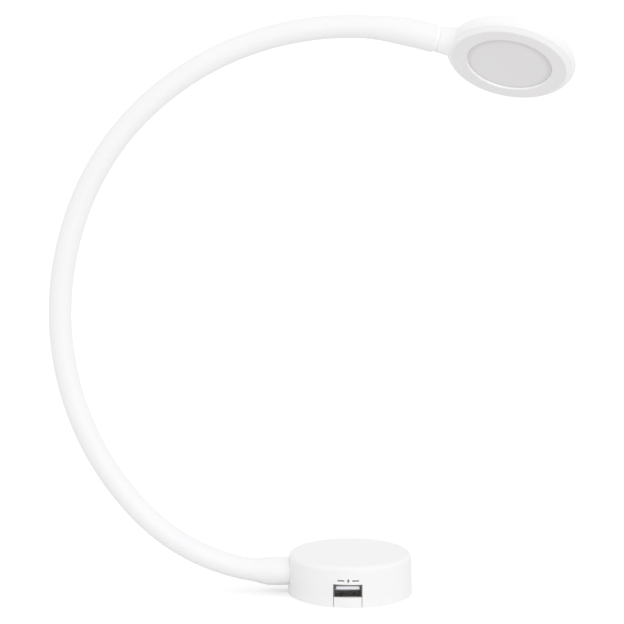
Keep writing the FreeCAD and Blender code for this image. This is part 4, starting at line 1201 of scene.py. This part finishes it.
    def build(self, line: NeckLine) -> None:
        """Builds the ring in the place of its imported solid.

        Args:
            line: the gooseneck's line, which the head ends.
        """
        centre, turn = self.centre(line), self.turn(line)
        ring = self.turned(centre, turn)
        self.relieve(ring, centre, turn)
        settle(ring)
        self.paint_ring_light_and_shade(ring, centre, turn)
        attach(ring, "head")
        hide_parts("head_bezel")
        LOG.info("%s: %s and %s", ring.name, BEZEL_WHITE_PAINTED_SHADE.name, BEZEL_WALL_HIGHLIGHT.name)


@dataclass
class Head(Unit):
    """The lamp head: shell, front ring, diffuser and the light inside."""

    finishes: dict[str, Finish] = field(
        default_factory=lambda: {
            "head_housing": HEAD_WHITE_PAINTED_LIGHT,
            "head_bezel": BEZEL_WHITE_PAINTED_SHADE,
            "diffuser": OPAL,
            "reflector_ring": REFLECTOR_WHITE,
            "led_board": ALUMINIUM,
            "leds": PHOSPHOR,
            "heat_spreader": ALUMINIUM,
            "head_ferrule": FITTING_NICKEL,
            "neck_screw": SCREW_ZINC,
            "led_leads": WIRE_WHITE,
        }
    )


@dataclass
class Neck(Unit):
    """The gooseneck: its metal tube, its feed cable and its packed sleeve, by how names start."""

    finishes: dict[str, Finish] = field(
        default_factory=lambda: {
            "gooseneck_tube_": TUBE_STEEL,
            "feed_cable_": WIRE_WHITE,
            "sleeve_": SILICONE,
        }
    )

    def dress(self, nodes: dict[str, bpy.types.Object]) -> None:
        """Puts a finish on every node whose name starts as the finish's key.

        Args:
            nodes: the frame's objects by node name.
        """
        for name, node in nodes.items():
            for start, finish in self.finishes.items():
                if name.startswith(start):
                    finish.cover(node)
                    LOG.info("%s: %s", name, finish.name)


# Studio and camera


@dataclass
class Studio:
    """A plain pale floor under a pale sky and one soft sun. Lengths are in metres."""

    floor_size: float = 60.0
    floor_drop: float = 0.00004
    sky: float = 0.97
    floor_glow: float = 0.25
    floor_light: Colour = (0.83, 0.83, 0.83)
    floor_dark: Colour = (0.82, 0.82, 0.82)
    sun_place: tuple[float, float, float] = (-0.6, -1.2, 1.6)
    sun_heading: tuple[float, float, float] = (-0.38, 0.9, -0.2)
    sun_power: float = 0.55
    sun_spread: float = 40.0

    def build(self) -> None:
        """Lays the floor, sets the sky and hangs the light."""
        clear_selection()
        bpy.ops.mesh.primitive_plane_add(
            size=self.floor_size, location=(0.0, 0.0, -self.floor_drop)
        )
        floor = bpy.context.object
        floor.name = "floor"
        settle(floor)
        paper = Finish(
            "floor_paper", self.floor_light, self.floor_dark,
            roughness=(0.85, 0.95), specular=0.0, cloud_scale=3.0, grain_scale=300.0,
            grain_strength=0.0,
        )
        paper.dress(floor)
        self.light_table(paper.material().node_tree)
        world = bpy.context.scene.world or bpy.data.worlds.new("studio")
        bpy.context.scene.world = world
        world.use_nodes = True
        sky = next(n for n in world.node_tree.nodes if n.type == "BACKGROUND")
        sky.inputs["Color"].default_value = WHITE
        sky.inputs["Strength"].default_value = self.sky
        clear_selection()
        bpy.ops.object.light_add(type="SUN", location=self.sun_place)
        lamp = bpy.context.object
        lamp.name = "soft_light"
        lamp.data.energy = self.sun_power
        lamp.data.angle = math.radians(self.sun_spread)
        lamp.rotation_euler = Vector(self.sun_heading).to_track_quat("-Z", "Y").to_euler()

    def light_table(self, tree: bpy.types.NodeTree) -> None:
        """Lets the paper glow for the camera, as on a light table, so that it comes out white.

        Args:
            tree: the paper's node tree.
        """
        shader = next(n for n in tree.nodes if n.type == "BSDF_PRINCIPLED")
        seen = tree.nodes.new("ShaderNodeLightPath")
        glow = tree.nodes.new("ShaderNodeMapRange")
        glow.inputs["To Max"].default_value = self.floor_glow
        tree.links.new(seen.outputs["Is Camera Ray"], glow.inputs["Value"])
        tree.links.new(glow.outputs["Result"], shader.inputs["Emission Strength"])
        shader.inputs["Emission Color"].default_value = WHITE


@dataclass
class PhotoCamera:
    """The camera at the photograph's place: far off, slightly above and tilted down.

    The place and the near limit are in metres, the pitch in degrees, lens and sensor in
    millimetres.
    """

    place: tuple[float, float, float] = (-0.01851236, -1.16606289, 0.31829785)
    pitch: float = 8.81478
    lens: float = 142.34
    sensor: float = 36.0
    near_limit: float = 0.05

    def build(self) -> None:
        """Sets the camera up."""
        tilt = math.radians(90.0 - self.pitch)
        bpy.ops.object.camera_add(location=self.place, rotation=(tilt, 0.0, 0.0))
        camera = bpy.context.object
        camera.name = "photo_camera"
        camera.data.sensor_width = self.sensor
        camera.data.lens = self.lens
        camera.data.clip_start = self.near_limit
        bpy.context.scene.camera = camera
        bpy.context.scene.view_settings.view_transform = "Standard"


def clear_selection() -> None:
    """Deselects every object, the CAD nodes among them."""
    bpy.ops.object.select_all(action="DESELECT")


def close_up() -> None:
    """Joins the drawn rings where they meet, turns the faces out and leaves edit mode."""
    bpy.ops.mesh.select_all(action="SELECT")
    bpy.ops.mesh.remove_doubles(threshold=SAME_CORNER)
    bpy.ops.mesh.normals_make_consistent(inside=False)
    bpy.ops.object.mode_set(mode="OBJECT")


def settle(piece: bpy.types.Object, angle: float = SMOOTH_ANGLE) -> None:
    """Puts a piece's place into its mesh and shades it smooth up to an angle.

    Args:
        piece: the piece, at its place.
        angle: the greatest angle between smooth faces, in degrees.
    """
    clear_selection()
    piece.select_set(True)
    bpy.context.view_layer.objects.active = piece
    bpy.ops.object.transform_apply(location=True, rotation=True, scale=True)
    bpy.ops.object.shade_smooth_by_angle(angle=math.radians(angle))


def main() -> None:
    """Loads the frame, dresses and models the lamp, and sets up the studio."""
    logging.basicConfig(level=logging.INFO, format="%(name)s: %(message)s")
    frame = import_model()
    Base().dress(frame["nodes"])
    Neck().dress(frame["nodes"])
    Head().dress(frame["nodes"])
    Sleeve().build(frame["joints"])
    ChargeMark().build()
    FrontRing().build(NeckLine())
    Studio().build()
    PhotoCamera().build()


if __name__ == "__main__":
    main()
